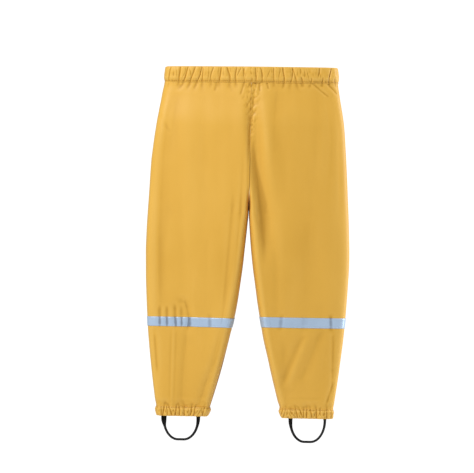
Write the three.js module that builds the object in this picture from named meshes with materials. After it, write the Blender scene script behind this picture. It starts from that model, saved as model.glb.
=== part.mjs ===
// Child's waterproof pull-on over-trousers, standing open as if worn, in millimetres.
// +Z is up, the front faces -Y and the wearer's left side is +X. The origin is the
// middle of the waist opening, level with the waistband's top edge.
import * as THREE from 'three';

// ---------------------------------------------------------------- driving dimensions

// Heights, most of them as a drop below the waistband's top edge.
const OUTER_LENGTH = 600; // waistband's top edge to the cuff's bottom edge
const RISE = 250; // waistband's top edge to the crotch point
const HIP_DROP = 100; // the line where the hips are measured
const CROTCH_CURVE = 95; // height over which the rise seams curve in to the crotch
const THIGH_LINE = 0.2; // share of the inside leg from the crotch to the thigh line
const CALF_LINE = 0.55; // share of the inside leg from the crotch to the calf line
const TAPE_ABOVE_HEM = 161; // cuff's bottom edge to the middle of the reflective tape

// Widths across both legs, seen from the front.
const WAIST_WIDTH = 292;
const WAIST_FLARE = 4; // extra width at the waistband's lower edge
const HIP_WIDTH = 322;
const CROTCH_WIDTH = 344;
const THIGH_SPREAD = 349;
const CALF_SPREAD = 337;
const HEM_SPREAD = 301;

// Gaps between the two legs, seen from the front.
const THIGH_GAP = 14;
const CALF_GAP = 52;
const HEM_GAP = 127;

// Depths in front of and behind the side seams.
const WAIST_FRONT = 38;
const WAIST_BACK = 42;
const HIP_FRONT = 46;
const HIP_BACK = 54;
const CROTCH_FRONT = 45;
const CROTCH_BACK = 54;
const THIGH_FRONT = 42;
const THIGH_BACK = 46;
const CALF_FRONT = 36;
const CALF_BACK = 40;
const HEM_FRONT = 24;
const HEM_BACK = 26;
const FULLNESS = 2.6; // superellipse power of every level section: 2 is an ellipse
const SEAM_HOLD = 5; // power that keeps the rise seam's own curve close to the seam

// Cloth, elastic, tape and thread.
const FABRIC = 0.8; // coated fabric
const ELASTIC = 1.2; // thickness of the elastic inside the waistband and cuffs
const WAIST_ELASTIC_WIDTH = 25;
const CUFF_ELASTIC_WIDTH = 14;
const CASING_MARGIN = 1.6; // casing past the elastic, where the panels are sewn in
const REFLECTIVE_WIDTH = 16;
const REFLECTIVE = 0.5;
const THREAD = 0.6;
const THREAD_FROM_EDGE = 2; // stitching to the casing's open edge
const SEAM_TAPE = 0.5;
const SEAM_TAPE_WIDTH = 18;
const SEAM_TAPE_END = 3; // distance that a seam tape stops short of a casing

// Stirrups.
const STRAP_WIDTH = 10;
const STRAP = 1.8;
const STRAP_DROP = 36; // the swing axis to the middle of the tread
const STRAP_FLAT = 10; // straight length of the tread
const STRAP_TWIST = 24; // length over which the strap turns from facing forward to flat
const PIVOT_DROP = 4; // the cuff's bottom edge to the swing axis
const TAB_LENGTH = 14; // length of each strap end inside the cuff
const SWING_CLEARANCE = 1.2; // strap end to the part of the strap that swings

// Care label.
const LABEL_WIDTH = 30;
const LABEL_LENGTH = 42;
const LABEL = 0.3;
const LABEL_DROP = 18; // top edge of the label

// Clearances.
const GAP = 0.3; // pieces that touch
const TAPE_GAP = 0.6; // seam tape to the curved fabric behind it
const WRAP_CLEARANCE = 0.8; // extra room of a flat strap end inside a round cuff
const FACET_CLEARANCE = 0.1; // extra room of the panels' faceted edges along the rise

// Fineness of the facets.
const COLUMNS = 12; // facets across a panel
const STRAP_STEPS = 8; // steps along each curved side of a strap
const TURN_STEP = 0.004; // turn either side of a place that its normal is measured over

// ---------------------------------------------------------------- colours

const YELLOW = { color: 0xe8b657, roughness: 0.45, metalness: 0 };
const STITCH_YELLOW = { color: 0xc7912f, roughness: 0.7, metalness: 0 };
const SEAM_TAPE_GREY = { color: 0xcfc8b4, roughness: 0.5, metalness: 0 };
const REFLECTIVE_GREY = { color: 0xafc4db, roughness: 0.35, metalness: 0.3 };
const ELASTIC_WHITE = { color: 0xe9e7e0, roughness: 0.9, metalness: 0 };
const BLACK = { color: 0x0a0a0a, roughness: 0.85, metalness: 0 };
const LABEL_WHITE = { color: 0xf4f4f1, roughness: 0.6, metalness: 0 };

// ---------------------------------------------------------------- the body's outline

/** A smooth function through points with rising x, which never overshoots them. */
function smoothThrough(xs, ys) {
  const last = xs.length - 1;
  const secants = [];
  for (let i = 0; i < last; i++) {
    secants.push((ys[i + 1] - ys[i]) / (xs[i + 1] - xs[i]));
  }
  const slopes = xs.map((_, i) => {
    if (i === 0) return secants[0];
    if (i === last) return secants[last - 1];
    const [before, after] = [secants[i - 1], secants[i]];
    return before * after <= 0 ? 0 : (2 * before * after) / (before + after);
  });
  return (x) => {
    let i = 0;
    while (i < last - 1 && x > xs[i + 1]) i += 1;
    const run = xs[i + 1] - xs[i];
    const t = (x - xs[i]) / run;
    return (
      (2 * t ** 3 - 3 * t ** 2 + 1) * ys[i] +
      (t ** 3 - 2 * t ** 2 + t) * run * slopes[i] +
      (3 * t ** 2 - 2 * t ** 3) * ys[i + 1] +
      (t ** 3 - t ** 2) * run * slopes[i + 1]
    );
  };
}

const CASING_HALF = ELASTIC / 2 + GAP + FABRIC; // middle of a casing to its outer face
const WAISTBAND_HEIGHT = FABRIC + GAP + WAIST_ELASTIC_WIDTH + CASING_MARGIN;
const CUFF_HEIGHT = FABRIC + GAP + CUFF_ELASTIC_WIDTH + CASING_MARGIN;
const INSIDE_LEG = OUTER_LENGTH - RISE;
const SEAM_HALF_GAP = FABRIC / 2 + GAP / 2 + FACET_CLEARANCE; // x of a panel's edge along the rise

const LINES = [
  0,
  WAISTBAND_HEIGHT,
  HIP_DROP,
  RISE,
  RISE + THIGH_LINE * INSIDE_LEG,
  RISE + CALF_LINE * INSIDE_LEG,
  OUTER_LENGTH,
];
const halfWidthAt = smoothThrough(
  LINES,
  [
    WAIST_WIDTH,
    WAIST_WIDTH + WAIST_FLARE,
    HIP_WIDTH,
    CROTCH_WIDTH,
    THIGH_SPREAD,
    CALF_SPREAD,
    HEM_SPREAD,
  ].map((width) => width / 2),
);
const halfGapAt = smoothThrough(LINES, [
  SEAM_HALF_GAP,
  SEAM_HALF_GAP,
  SEAM_HALF_GAP,
  SEAM_HALF_GAP,
  THIGH_GAP / 2,
  CALF_GAP / 2,
  HEM_GAP / 2,
]);
const frontAt = smoothThrough(LINES, [
  WAIST_FRONT,
  WAIST_FRONT,
  HIP_FRONT,
  CROTCH_FRONT,
  THIGH_FRONT,
  CALF_FRONT,
  HEM_FRONT,
]);
const backAt = smoothThrough(LINES, [
  WAIST_BACK,
  WAIST_BACK,
  HIP_BACK,
  CROTCH_BACK,
  THIGH_BACK,
  CALF_BACK,
  HEM_BACK,
]);

/**
 * 0 where the section is one loop and 1 where it is two legs. The rise seams curve in to
 * the crotch along a quarter ellipse, and the cloth beside them follows more gently.
 */
function legShareAt(drop, round) {
  const t = THREE.MathUtils.clamp((drop - RISE + CROTCH_CURVE) / CROTCH_CURVE, 0, 1);
  const atSeam = 1 - Math.sqrt(1 - t * t);
  const beside = t * t * (3 - 2 * t);
  return THREE.MathUtils.lerp(beside, atSeam, Math.min(1, Math.abs(round)) ** SEAM_HOLD);
}

/** A sine or cosine bent to the fullness of the section. */
function full(value) {
  return Math.sign(value) * Math.abs(value) ** (2 / FULLNESS);
}

/**
 * A point of the cloth's middle surface on one side of the body: side is 1 for the
 * wearer's left and -1 for the right. round is 0 at the side seam, 1 at the front rise
 * or inseam and -1 at the back rise or inseam.
 */
function clothCurve(side, round, drop) {
  const width = halfWidthAt(drop);
  const gap = halfGapAt(drop);
  const depth = round > 0 ? frontAt(drop) : backAt(drop);
  const share = legShareAt(drop, round);
  const torsoAngle = (round * Math.PI) / 2;
  const legAngle = round * Math.PI;
  const torsoX = gap + (width - gap) * full(Math.cos(torsoAngle));
  const legX = (width + gap) / 2 + ((width - gap) / 2) * full(Math.cos(legAngle));
  const torsoY = -depth * full(Math.sin(torsoAngle));
  const legY = -depth * full(Math.sin(legAngle));
  return new THREE.Vector3(
    side * THREE.MathUtils.lerp(torsoX, legX, share),
    THREE.MathUtils.lerp(torsoY, legY, share),
    -drop,
  );
}

/** The outward normal of the cloth. level keeps it in the horizontal plane. */
function clothNormal(side, round, drop, level) {
  const around = clothCurve(side, round + TURN_STEP, drop).sub(
    clothCurve(side, round - TURN_STEP, drop),
  );
  const down = level
    ? new THREE.Vector3(0, 0, -1)
    : clothCurve(side, round, drop + 1).sub(clothCurve(side, round, drop - 1));
  return around.cross(down).multiplyScalar(side).normalize();
}

/** A point at a distance outside the faceted cloth. column runs from -COLUMNS to COLUMNS. */
function onCloth(side, column, drop, outward, level = false) {
  const low = Math.floor(column);
  const corner = (whole) =>
    clothCurve(side, whole / COLUMNS, drop).addScaledVector(
      clothNormal(side, whole / COLUMNS, drop, level),
      outward,
    );
  return low === column ? corner(low) : corner(low).lerp(corner(low + 1), column - low);
}

// ---------------------------------------------------------------- making closed bodies

function signedVolume(points, triangles) {
  let volume = 0;
  const cross = new THREE.Vector3();
  for (const [a, b, c] of triangles) {
    volume += points[a].dot(cross.crossVectors(points[b], points[c])) / 6;
  }
  return volume;
}

/**
 * A closed body through sections of equal point count. A section goes out along one face
 * and back along the other, so an end is closed by joining each point to its opposite.
 */
function loft(sections, closed) {
  const count = sections[0].length;
  const points = sections.flat();
  const triangles = [];
  const quad = (a, b, c, d) => triangles.push([a, b, c], [a, c, d]);
  const spans = closed ? sections.length : sections.length - 1;
  for (let i = 0; i < spans; i++) {
    const here = i * count;
    const next = ((i + 1) % sections.length) * count;
    for (let j = 0; j < count; j++) {
      const k = (j + 1) % count;
      quad(here + j, here + k, next + k, next + j);
    }
  }
  if (!closed) {
    const end = (sections.length - 1) * count;
    for (let j = 0; j < count / 2 - 1; j++) {
      const k = count - 1 - j;
      quad(j, k, k - 1, j + 1);
      quad(end + j, end + j + 1, end + k - 1, end + k);
    }
  }
  const inward = signedVolume(points, triangles) < 0;
  const geometry = new THREE.BufferGeometry();
  const flat = points.flatMap((point) => [point.x, point.y, point.z]);
  geometry.setAttribute('position', new THREE.Float32BufferAttribute(flat, 3));
  geometry.setIndex(triangles.flatMap(([a, b, c]) => (inward ? [a, c, b] : [a, b, c])));
  geometry.computeVertexNormals();
  return geometry;
}

const trousers = new THREE.Group();

function addPiece(name, geometry, finish) {
  const mesh = new THREE.Mesh(geometry, new THREE.MeshStandardMaterial(finish));
  mesh.name = name;
  trousers.add(mesh);
  return mesh;
}

function rangeOf(from, to) {
  return Array.from({ length: to - from + 1 }, (_, i) => from + i);
}

/** A strip of cloth or tape between two offsets, with a section at each drop. */
function clothStrip(places, drops, outer, inner) {
  const sections = drops.map((drop) => {
    const there = places(drop).map(([side, column]) => onCloth(side, column, drop, outer));
    const back = places(drop).map(([side, column]) => onCloth(side, column, drop, inner));
    return [...there, ...back.reverse()];
  });
  return loft(sections, false);
}

/** A band round the waist or round one leg. profile is a closed list of [outward, drop]. */
function clothBand(places, profile) {
  const sections = places.map(([side, column]) =>
    profile.map(([outward, drop]) => onCloth(side, column, drop, outward, true)),
  );
  return loft(sections, true);
}

function rectangle(inner, outer, top, bottom) {
  return [
    [outer, top],
    [outer, bottom],
    [inner, bottom],
    [inner, top],
  ];
}

/** A folded casing: its fold is at one drop and its two edges are at another. */
function foldedCasing(fold, edge) {
  const wall = fold + Math.sign(edge - fold) * FABRIC;
  const inside = CASING_HALF - FABRIC;
  return [
    [CASING_HALF, fold],
    [CASING_HALF, edge],
    [inside, edge],
    [inside, wall],
    [-inside, wall],
    [-inside, edge],
    [-CASING_HALF, edge],
    [-CASING_HALF, fold],
  ];
}

// ---------------------------------------------------------------- levels and seams

const WAIST_ELASTIC_TOP = FABRIC + GAP;
const WAIST_ELASTIC_BOTTOM = WAIST_ELASTIC_TOP + WAIST_ELASTIC_WIDTH;
const PANEL_TOP = WAIST_ELASTIC_BOTTOM + GAP;
const CUFF_TOP = OUTER_LENGTH - CUFF_HEIGHT;
const CUFF_ELASTIC_BOTTOM = OUTER_LENGTH - FABRIC - GAP;
const CUFF_ELASTIC_TOP = CUFF_ELASTIC_BOTTOM - CUFF_ELASTIC_WIDTH;
const PANEL_BOTTOM = CUFF_ELASTIC_TOP - GAP;
const TAPE_TOP = OUTER_LENGTH - TAPE_ABOVE_HEM - REFLECTIVE_WIDTH / 2;
const TAPE_BOTTOM = TAPE_TOP + REFLECTIVE_WIDTH;
const CURVE_TOP = RISE - CROTCH_CURVE;
const CURVE_ANGLES = [0, 18, 34, 48, 60, 71, 81, 90];

function evenly(from, to, spans) {
  return rangeOf(0, spans).map((i) => from + ((to - from) * i) / spans);
}

const CURVE_DROPS = CURVE_ANGLES.map(
  (angle) => CURVE_TOP + CROTCH_CURVE * Math.sin(THREE.MathUtils.degToRad(angle)),
);
const BODY_DROPS = evenly(WAISTBAND_HEIGHT + SEAM_TAPE_END, CURVE_TOP, 3);
const LEG_DROPS = [
  ...evenly(RISE, TAPE_TOP, 5),
  ...evenly(TAPE_BOTTOM, CUFF_TOP - SEAM_TAPE_END, 4),
];
const PANEL_DROPS = [
  PANEL_TOP,
  ...BODY_DROPS,
  ...CURVE_DROPS.slice(1),
  ...LEG_DROPS.slice(1),
  PANEL_BOTTOM,
];

const EDGE_COLUMN = 0.04; // a panel's edge to the seam line, in columns
const SIDES = [
  ['right', -1],
  ['left', 1],
];
const PANEL_COLUMNS = [
  EDGE_COLUMN,
  ...rangeOf(1, COLUMNS - 1),
  COLUMNS - EDGE_COLUMN,
];
const LEG_COLUMNS = rangeOf(-COLUMNS, COLUMNS - 1);
const WAIST_PLACES = [
  ...rangeOf(-COLUMNS, COLUMNS).map((column) => [1, column]),
  ...rangeOf(-COLUMNS, COLUMNS).map((column) => [-1, -column]),
];

/** The column that lies half a seam tape away from the seam at a whole column. */
function tapeColumn(side, seam, towards, drop) {
  const from = clothCurve(side, seam / COLUMNS, drop);
  const to = clothCurve(side, (seam + towards) / COLUMNS, drop);
  return seam + (towards * Math.min(1, SEAM_TAPE_WIDTH / 2 / from.distanceTo(to)));
}

const SEAM_TAPE_OUTER = -(FABRIC / 2 + TAPE_GAP);
const SEAM_TAPE_INNER = SEAM_TAPE_OUTER - SEAM_TAPE;

// ---------------------------------------------------------------- panels and seam tapes

for (const [sideName, side] of SIDES) {
  for (const [faceName, face] of [
    ['front', 1],
    ['back', -1],
  ]) {
    const columns = PANEL_COLUMNS.map((column) => [side, face * column]);
    addPiece(
      `${sideName}_${faceName}_panel`,
      clothStrip(() => columns, PANEL_DROPS, FABRIC / 2, -FABRIC / 2),
      YELLOW,
    );
  }

  const sideSeam = (drop) => [
    [side, tapeColumn(side, 0, -1, drop)],
    [side, 0],
    [side, tapeColumn(side, 0, 1, drop)],
  ];
  const sideDrops = PANEL_DROPS.slice(1, -1);
  addPiece(
    `${sideName}_side_seam_tape`,
    clothStrip(sideSeam, sideDrops, SEAM_TAPE_OUTER, SEAM_TAPE_INNER),
    SEAM_TAPE_GREY,
  );

  const inseam = (drop) => [
    [side, tapeColumn(side, COLUMNS, -1, drop)],
    [side, COLUMNS],
    [side, tapeColumn(side, -COLUMNS, 1, drop)],
  ];
  addPiece(
    `${sideName}_inseam_tape`,
    clothStrip(inseam, LEG_DROPS.slice(1), SEAM_TAPE_OUTER, SEAM_TAPE_INNER),
    SEAM_TAPE_GREY,
  );
}

for (const [faceName, face] of [
  ['front', 1],
  ['back', -1],
]) {
  const seam = face * COLUMNS;
  const edge = face * (COLUMNS - EDGE_COLUMN);
  const rise = (drop) => [
    [-1, tapeColumn(-1, seam, -face, drop)],
    [-1, edge],
    [1, edge],
    [1, tapeColumn(1, seam, -face, drop)],
  ];
  const riseDrops = [...BODY_DROPS, ...CURVE_DROPS.slice(1, -2)];
  addPiece(
    `${faceName}_rise_seam_tape`,
    clothStrip(rise, riseDrops, SEAM_TAPE_OUTER, SEAM_TAPE_INNER),
    SEAM_TAPE_GREY,
  );
}

// ---------------------------------------------------------------- waistband

addPiece(
  'waistband_casing',
  clothBand(WAIST_PLACES, foldedCasing(0, WAISTBAND_HEIGHT)),
  YELLOW,
);
addPiece(
  'waist_elastic',
  clothBand(
    WAIST_PLACES,
    rectangle(-ELASTIC / 2, ELASTIC / 2, WAIST_ELASTIC_TOP, WAIST_ELASTIC_BOTTOM),
  ),
  ELASTIC_WHITE,
);

/** A line of stitching on the outside of a casing, centred on a drop. */
function stitching(places, drop) {
  const inner = CASING_HALF + GAP;
  const profile = rectangle(inner, inner + THREAD, drop - THREAD / 2, drop + THREAD / 2);
  return clothBand(places, profile);
}

addPiece(
  'waistband_stitching',
  stitching(WAIST_PLACES, WAISTBAND_HEIGHT - THREAD_FROM_EDGE),
  STITCH_YELLOW,
);

const labelInset = CASING_HALF + GAP + LABEL + GAP;
const label = addPiece(
  'care_label',
  new THREE.BoxGeometry(LABEL_WIDTH, LABEL, LABEL_LENGTH),
  LABEL_WHITE,
);
label.position.set(0, backAt(0) - labelInset, -LABEL_DROP - LABEL_LENGTH / 2);

// ---------------------------------------------------------------- cuffs, tapes, stirrups

/** A strap's section, with its width along across and its thickness along through. */
function flatSection(middle, across, through) {
  return rectangle(-1, 1, -1, 1).map(([thick, wide]) =>
    middle
      .clone()
      .addScaledVector(across, (wide * STRAP_WIDTH) / 2)
      .addScaledVector(through, (thick * STRAP) / 2),
  );
}

/** A section across a hanging strap, which lies flat when its twist is a quarter turn. */
function strapSection(middle, along, twist) {
  const sideways = new THREE.Vector3(0, 1, 0);
  const level = new THREE.Vector3().crossVectors(along, sideways).normalize();
  const across = level.clone().multiplyScalar(Math.cos(twist));
  across.addScaledVector(sideways, Math.sin(twist));
  const through = new THREE.Vector3().crossVectors(along, across).normalize();
  return flatSection(middle, across, through);
}

/** The swinging part of a stirrup: down, along the tread and up again. */
function stirrupLoop(outerEnd, innerEnd) {
  const middle = outerEnd.clone().lerp(innerEnd, 0.5);
  const halfSpan = Math.abs(outerEnd.x - innerEnd.x) / 2;
  const halfFlat = STRAP_FLAT / 2;
  const curve = rangeOf(0, STRAP_STEPS).map((step) => {
    const angle = ((step / STRAP_STEPS) * Math.PI) / 2;
    const x = halfFlat + (halfSpan - halfFlat) * Math.cos(angle);
    return [x, -STRAP_DROP * Math.sin(angle)];
  });
  const outline = [...curve, ...curve.map(([x, z]) => [-x, z]).reverse()];
  const path = outline.map(([x, z]) => middle.clone().add(new THREE.Vector3(x, 0, z)));
  let travelled = 0;
  const lengths = path.map((point, i) => {
    travelled += i === 0 ? 0 : point.distanceTo(path[i - 1]);
    return travelled;
  });
  const sections = path.map((point, i) => {
    const before = path[Math.max(i - 1, 0)];
    const after = path[Math.min(i + 1, path.length - 1)];
    const isEnd = i === 0 || i === path.length - 1;
    const along = isEnd
      ? new THREE.Vector3(0, 0, i === 0 ? -1 : 1)
      : after.clone().sub(before).normalize();
    const fromEnd = Math.min(lengths[i], travelled - lengths[i]);
    const turned = THREE.MathUtils.smoothstep(fromEnd, 0, STRAP_TWIST);
    return strapSection(point, along, (turned * Math.PI) / 2);
  });
  return loft(sections, false);
}

const STRAP_INSET = CASING_HALF + GAP + STRAP / 2 + WRAP_CLEARANCE;

/** A strap end: flat on the inside of the cuff, and square to the front below its edge. */
function strapEnd(side, column, pivot) {
  const bottom = pivot.z + SWING_CLEARANCE;
  const sections = [OUTER_LENGTH - TAB_LENGTH, OUTER_LENGTH].map((drop) => {
    const normal = clothNormal(side, column / COLUMNS, drop, true);
    const across = new THREE.Vector3(-normal.y, normal.x, 0);
    return flatSection(onCloth(side, column, drop, -STRAP_INSET, true), across, normal);
  });
  const square = flatSection(
    new THREE.Vector3(pivot.x, pivot.y, bottom),
    new THREE.Vector3(1, 0, 0),
    new THREE.Vector3(0, -1, 0),
  );
  return loft([...sections, square], false);
}

const STRAP_COLUMNS = { outer: COLUMNS / 4, inner: (3 * COLUMNS) / 4 };

for (const [sideName, side] of SIDES) {
  const legPlaces = LEG_COLUMNS.map((column) => [side, column]);
  addPiece(
    `${sideName}_cuff_casing`,
    clothBand(legPlaces, foldedCasing(OUTER_LENGTH, CUFF_TOP)),
    YELLOW,
  );
  addPiece(
    `${sideName}_cuff_elastic`,
    clothBand(
      legPlaces,
      rectangle(-ELASTIC / 2, ELASTIC / 2, CUFF_ELASTIC_TOP, CUFF_ELASTIC_BOTTOM),
    ),
    ELASTIC_WHITE,
  );
  addPiece(
    `${sideName}_cuff_stitching`,
    stitching(legPlaces, CUFF_TOP + THREAD_FROM_EDGE),
    STITCH_YELLOW,
  );
  const tapeInner = FABRIC / 2 + GAP;
  addPiece(
    `${sideName}_reflective_tape`,
    clothBand(
      legPlaces,
      rectangle(tapeInner, tapeInner + REFLECTIVE, TAPE_TOP, TAPE_BOTTOM),
    ),
    REFLECTIVE_GREY,
  );

  const pivots = {};
  for (const [endName, column] of Object.entries(STRAP_COLUMNS)) {
    const exit = onCloth(side, column, OUTER_LENGTH, -STRAP_INSET, true);
    pivots[endName] = exit.setZ(-OUTER_LENGTH - PIVOT_DROP);
    addPiece(
      `${sideName}_stirrup_${endName}_end`,
      strapEnd(side, column, pivots[endName]),
      BLACK,
    );
  }
  addPiece(
    `${sideName}_stirrup_strap`,
    stirrupLoop(pivots.outer, pivots.inner),
    BLACK,
  );
}

export default trousers;
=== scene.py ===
import math
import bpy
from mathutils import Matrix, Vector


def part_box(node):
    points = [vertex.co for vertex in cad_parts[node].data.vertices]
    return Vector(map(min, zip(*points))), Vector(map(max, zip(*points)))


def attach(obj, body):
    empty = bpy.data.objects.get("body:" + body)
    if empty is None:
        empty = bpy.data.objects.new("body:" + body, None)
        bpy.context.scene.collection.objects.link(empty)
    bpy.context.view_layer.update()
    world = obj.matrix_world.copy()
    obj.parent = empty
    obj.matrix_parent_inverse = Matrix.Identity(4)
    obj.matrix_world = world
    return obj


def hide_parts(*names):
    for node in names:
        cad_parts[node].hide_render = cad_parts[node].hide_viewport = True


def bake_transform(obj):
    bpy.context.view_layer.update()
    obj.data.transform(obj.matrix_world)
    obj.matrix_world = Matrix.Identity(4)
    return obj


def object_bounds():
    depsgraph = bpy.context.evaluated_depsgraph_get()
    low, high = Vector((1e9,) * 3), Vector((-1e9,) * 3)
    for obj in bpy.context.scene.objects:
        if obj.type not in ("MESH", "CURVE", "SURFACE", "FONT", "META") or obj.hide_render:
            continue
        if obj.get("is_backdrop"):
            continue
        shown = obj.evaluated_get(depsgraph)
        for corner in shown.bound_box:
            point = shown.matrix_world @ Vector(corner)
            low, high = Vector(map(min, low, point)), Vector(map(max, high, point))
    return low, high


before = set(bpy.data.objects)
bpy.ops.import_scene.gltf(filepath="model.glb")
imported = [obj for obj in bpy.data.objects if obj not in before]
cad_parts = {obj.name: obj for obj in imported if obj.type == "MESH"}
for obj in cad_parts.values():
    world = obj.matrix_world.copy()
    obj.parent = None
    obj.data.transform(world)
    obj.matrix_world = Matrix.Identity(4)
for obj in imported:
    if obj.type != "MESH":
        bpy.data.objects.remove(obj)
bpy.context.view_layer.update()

from types import SimpleNamespace

import bpy
import numpy as np
from mathutils import Vector

MM = 0.001

# ------------------------------------------------------------------ levels from the frame

waistband_low, waistband_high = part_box("waistband_casing")
cuff_low, cuff_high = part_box("left_cuff_casing")
tape_low, tape_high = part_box("left_reflective_tape")
strap_low, strap_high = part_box("left_stirrup_strap")

WAISTBAND_HEIGHT = waistband_high.z - waistband_low.z
OUTER_LENGTH = waistband_high.z - cuff_low.z
CUFF_HEIGHT = cuff_high.z - cuff_low.z
CUFF_TOP = OUTER_LENGTH - CUFF_HEIGHT
TAPE_TOP = waistband_high.z - tape_high.z
TAPE_BOTTOM = waistband_high.z - tape_low.z

# ------------------------------------------------------------------ the body's outline

RISE = 250 * MM  # from the waist's top edge down to the crotch
CROTCH_CURVE = 60 * MM  # the height above the crotch where the inner edges start to round
HIP_DROP = 100 * MM
INSIDE_LEG = OUTER_LENGTH - RISE
THIGH_LINE = RISE + 0.2 * INSIDE_LEG
CALF_LINE = RISE + 0.55 * INSIDE_LEG
FORK_LINE = RISE + 20 * MM
LINES = [
    0, WAISTBAND_HEIGHT, HIP_DROP, RISE, FORK_LINE, THIGH_LINE, CALF_LINE, CUFF_TOP, OUTER_LENGTH
]
# In millimetres at each line: from the centre to the outer edge and to the inner edge, and
# how far the front and the back stand off the middle.
HALF_WIDTHS = [146, 148.5, 161.5, 172, 173, 174.5, 168.5, 152.2, 148.5]
HALF_GAPS = [0.2, 0.2, 0.2, 0.2, 1.7, 6.6, 26, 59.8, 65.8]
FRONTS = [38, 38, 46, 45, 44.4, 42, 36, 25.5, 23.5]
BACKS = [42, 42, 54, 54, 52.5, 46, 40, 27.5, 25.5]
OUTER_FULLNESS = 6.0  # superellipse power of the outer rounding: 2 is an ellipse
INNER_FULLNESS = 4.2
# As shares of half a leg's width: the inner rounding's width, and how far from the inner
# edge the outer rounding begins.
PINCHES = [0.06, 0.06, 0.06, 0.14, 0.18, 0.22, 0.24, 0.4, 0.6]
ELBOWS = [0.06, 0.06, 0.08, 0.42, 0.6, 0.9, 1, 1, 1]
EDGE_SHARE = 0.6  # a rounding's share of the depth in the length round the cloth
FRONT_TILT = 0.11  # each half of the front leans back towards its outer edge
TILT_AT_WAIST = 0.55
TILT_FADE = 70 * MM  # height above the cuffs where the tilt ends
WAIST_SLANT = 0.011  # the waist stands a little higher on the wearer's left


def smooth_through(xs, ys):
    """A smooth function through points with rising x, which never overshoots them."""
    xs = np.array(xs, float)
    ys = np.array(ys, float)
    secants = np.diff(ys) / np.diff(xs)
    slopes = np.zeros(len(xs))
    slopes[0] = secants[0]
    slopes[-1] = secants[-1]
    for i in range(1, len(xs) - 1):
        before, after = secants[i - 1], secants[i]
        if before * after > 0:
            slopes[i] = 2 * before * after / (before + after)

    def value(x):
        x = np.asarray(x, float)
        i = np.clip(np.searchsorted(xs, x) - 1, 0, len(xs) - 2)
        run = xs[i + 1] - xs[i]
        t = (x - xs[i]) / run
        return (
            (2 * t**3 - 3 * t**2 + 1) * ys[i]
            + (t**3 - 2 * t**2 + t) * run * slopes[i]
            + (3 * t**2 - 2 * t**3) * ys[i + 1]
            + (t**3 - t**2) * run * slopes[i + 1]
        )

    return value


half_width_at = smooth_through(LINES, [w * MM for w in HALF_WIDTHS])
half_gap_at = smooth_through(LINES, [w * MM for w in HALF_GAPS])
front_at = smooth_through(LINES, [w * MM for w in FRONTS])
back_at = smooth_through(LINES, [w * MM for w in BACKS])
pinch_at = smooth_through(LINES, PINCHES)
elbow_at = smooth_through(LINES, ELBOWS)


def bell(x):
    return np.exp(-x * x)


def smoothstep(low, high, x):
    t = np.clip((x - low) / (high - low), 0, 1)
    return t * t * (3 - 2 * t)


def quarter(turn, fullness):
    """A quarter of a full round: level and upright shares as the turn goes from 0 to 1."""
    angle = math.pi / 2 * turn * (1.6 - 0.6 * turn)
    level = np.cos(angle)
    upright = np.sin(angle)
    reach = (np.abs(level) ** fullness + np.abs(upright) ** fullness) ** (-1 / fullness)
    return level * reach, upright * reach


def body_curve(side, around, drop):
    """
    The cloth's middle surface: around is 0 at the side seam, 1 at the front and -1 at the
    back. Each face is rounded at its outer edge and flat inside that. Below the crotch it
    is rounded again at its inner edge, in a pinch that widens down the leg.
    """
    around, drop = np.broadcast_arrays(np.asarray(around, float), np.asarray(drop, float))
    turn = np.abs(around)
    width = half_width_at(drop)
    gap = half_gap_at(drop)
    depth = np.where(around > 0, front_at(drop), back_at(drop))
    middle = (width + gap) / 2
    pinch = (middle - gap) * pinch_at(drop)
    elbow = gap + (middle - gap) * elbow_at(drop)
    parted = np.clip(1 - (RISE - drop) / CROTCH_CURVE, 0, 1) ** 3
    outer_length = width - elbow + EDGE_SHARE * depth
    flat_length = elbow - gap - pinch
    inner_length = pinch + EDGE_SHARE * depth * parted
    total = outer_length + flat_length + inner_length
    outer_end = outer_length / total
    flat_end = outer_end + flat_length / total
    outer_level, outer_up = quarter(np.clip(turn / outer_end, 0, 1), OUTER_FULLNESS)
    inner_turn = (1 - turn) / (1 - flat_end)
    inner_level, inner_up = quarter(np.minimum(inner_turn, 1), INNER_FULLNESS)
    flat_share = np.clip((turn - outer_end) / np.maximum(flat_end - outer_end, 1e-9), 0, 1)
    outer_x = elbow + (width - elbow) * outer_level
    flat_x = elbow - flat_length * flat_share
    inner_x = gap + pinch * (inner_turn * (1 - parted) + (1 - inner_level) * parted)
    x = np.where(turn < outer_end, outer_x, np.where(turn < flat_end, flat_x, inner_x))
    inner_shape = 1 - parted + parted * inner_up
    shape = np.where(turn < outer_end, outer_up, np.where(turn < flat_end, 1, inner_shape))
    above_cuff = 1 - smoothstep(CUFF_TOP - TILT_FADE, CUFF_TOP, drop)
    at_waist = TILT_AT_WAIST + (1 - TILT_AT_WAIST) * smoothstep(0, HIP_DROP, drop)
    tilt = np.where(around > 0, FRONT_TILT, 0) * at_waist * above_cuff
    y = -np.sign(around) * (depth + tilt * (middle - x)) * shape
    slant = WAIST_SLANT * side * x * (1 - smoothstep(0, HIP_DROP, drop))
    return np.stack([side * x, y, slant - drop], axis=-1)


def body_normal(side, around, drop):
    """The outward normal of the middle surface."""
    step = 0.004
    down_step = 1.5 * MM
    along = body_curve(side, around + step, drop) - body_curve(side, around - step, drop)
    down = body_curve(side, around, drop + down_step) - body_curve(
        side, around, drop - down_step
    )
    normal = np.asarray(side)[..., None] * np.cross(along, down)
    return normal / np.linalg.norm(normal, axis=-1, keepdims=True)


# ------------------------------------------------------------------ smooth random fields


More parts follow.
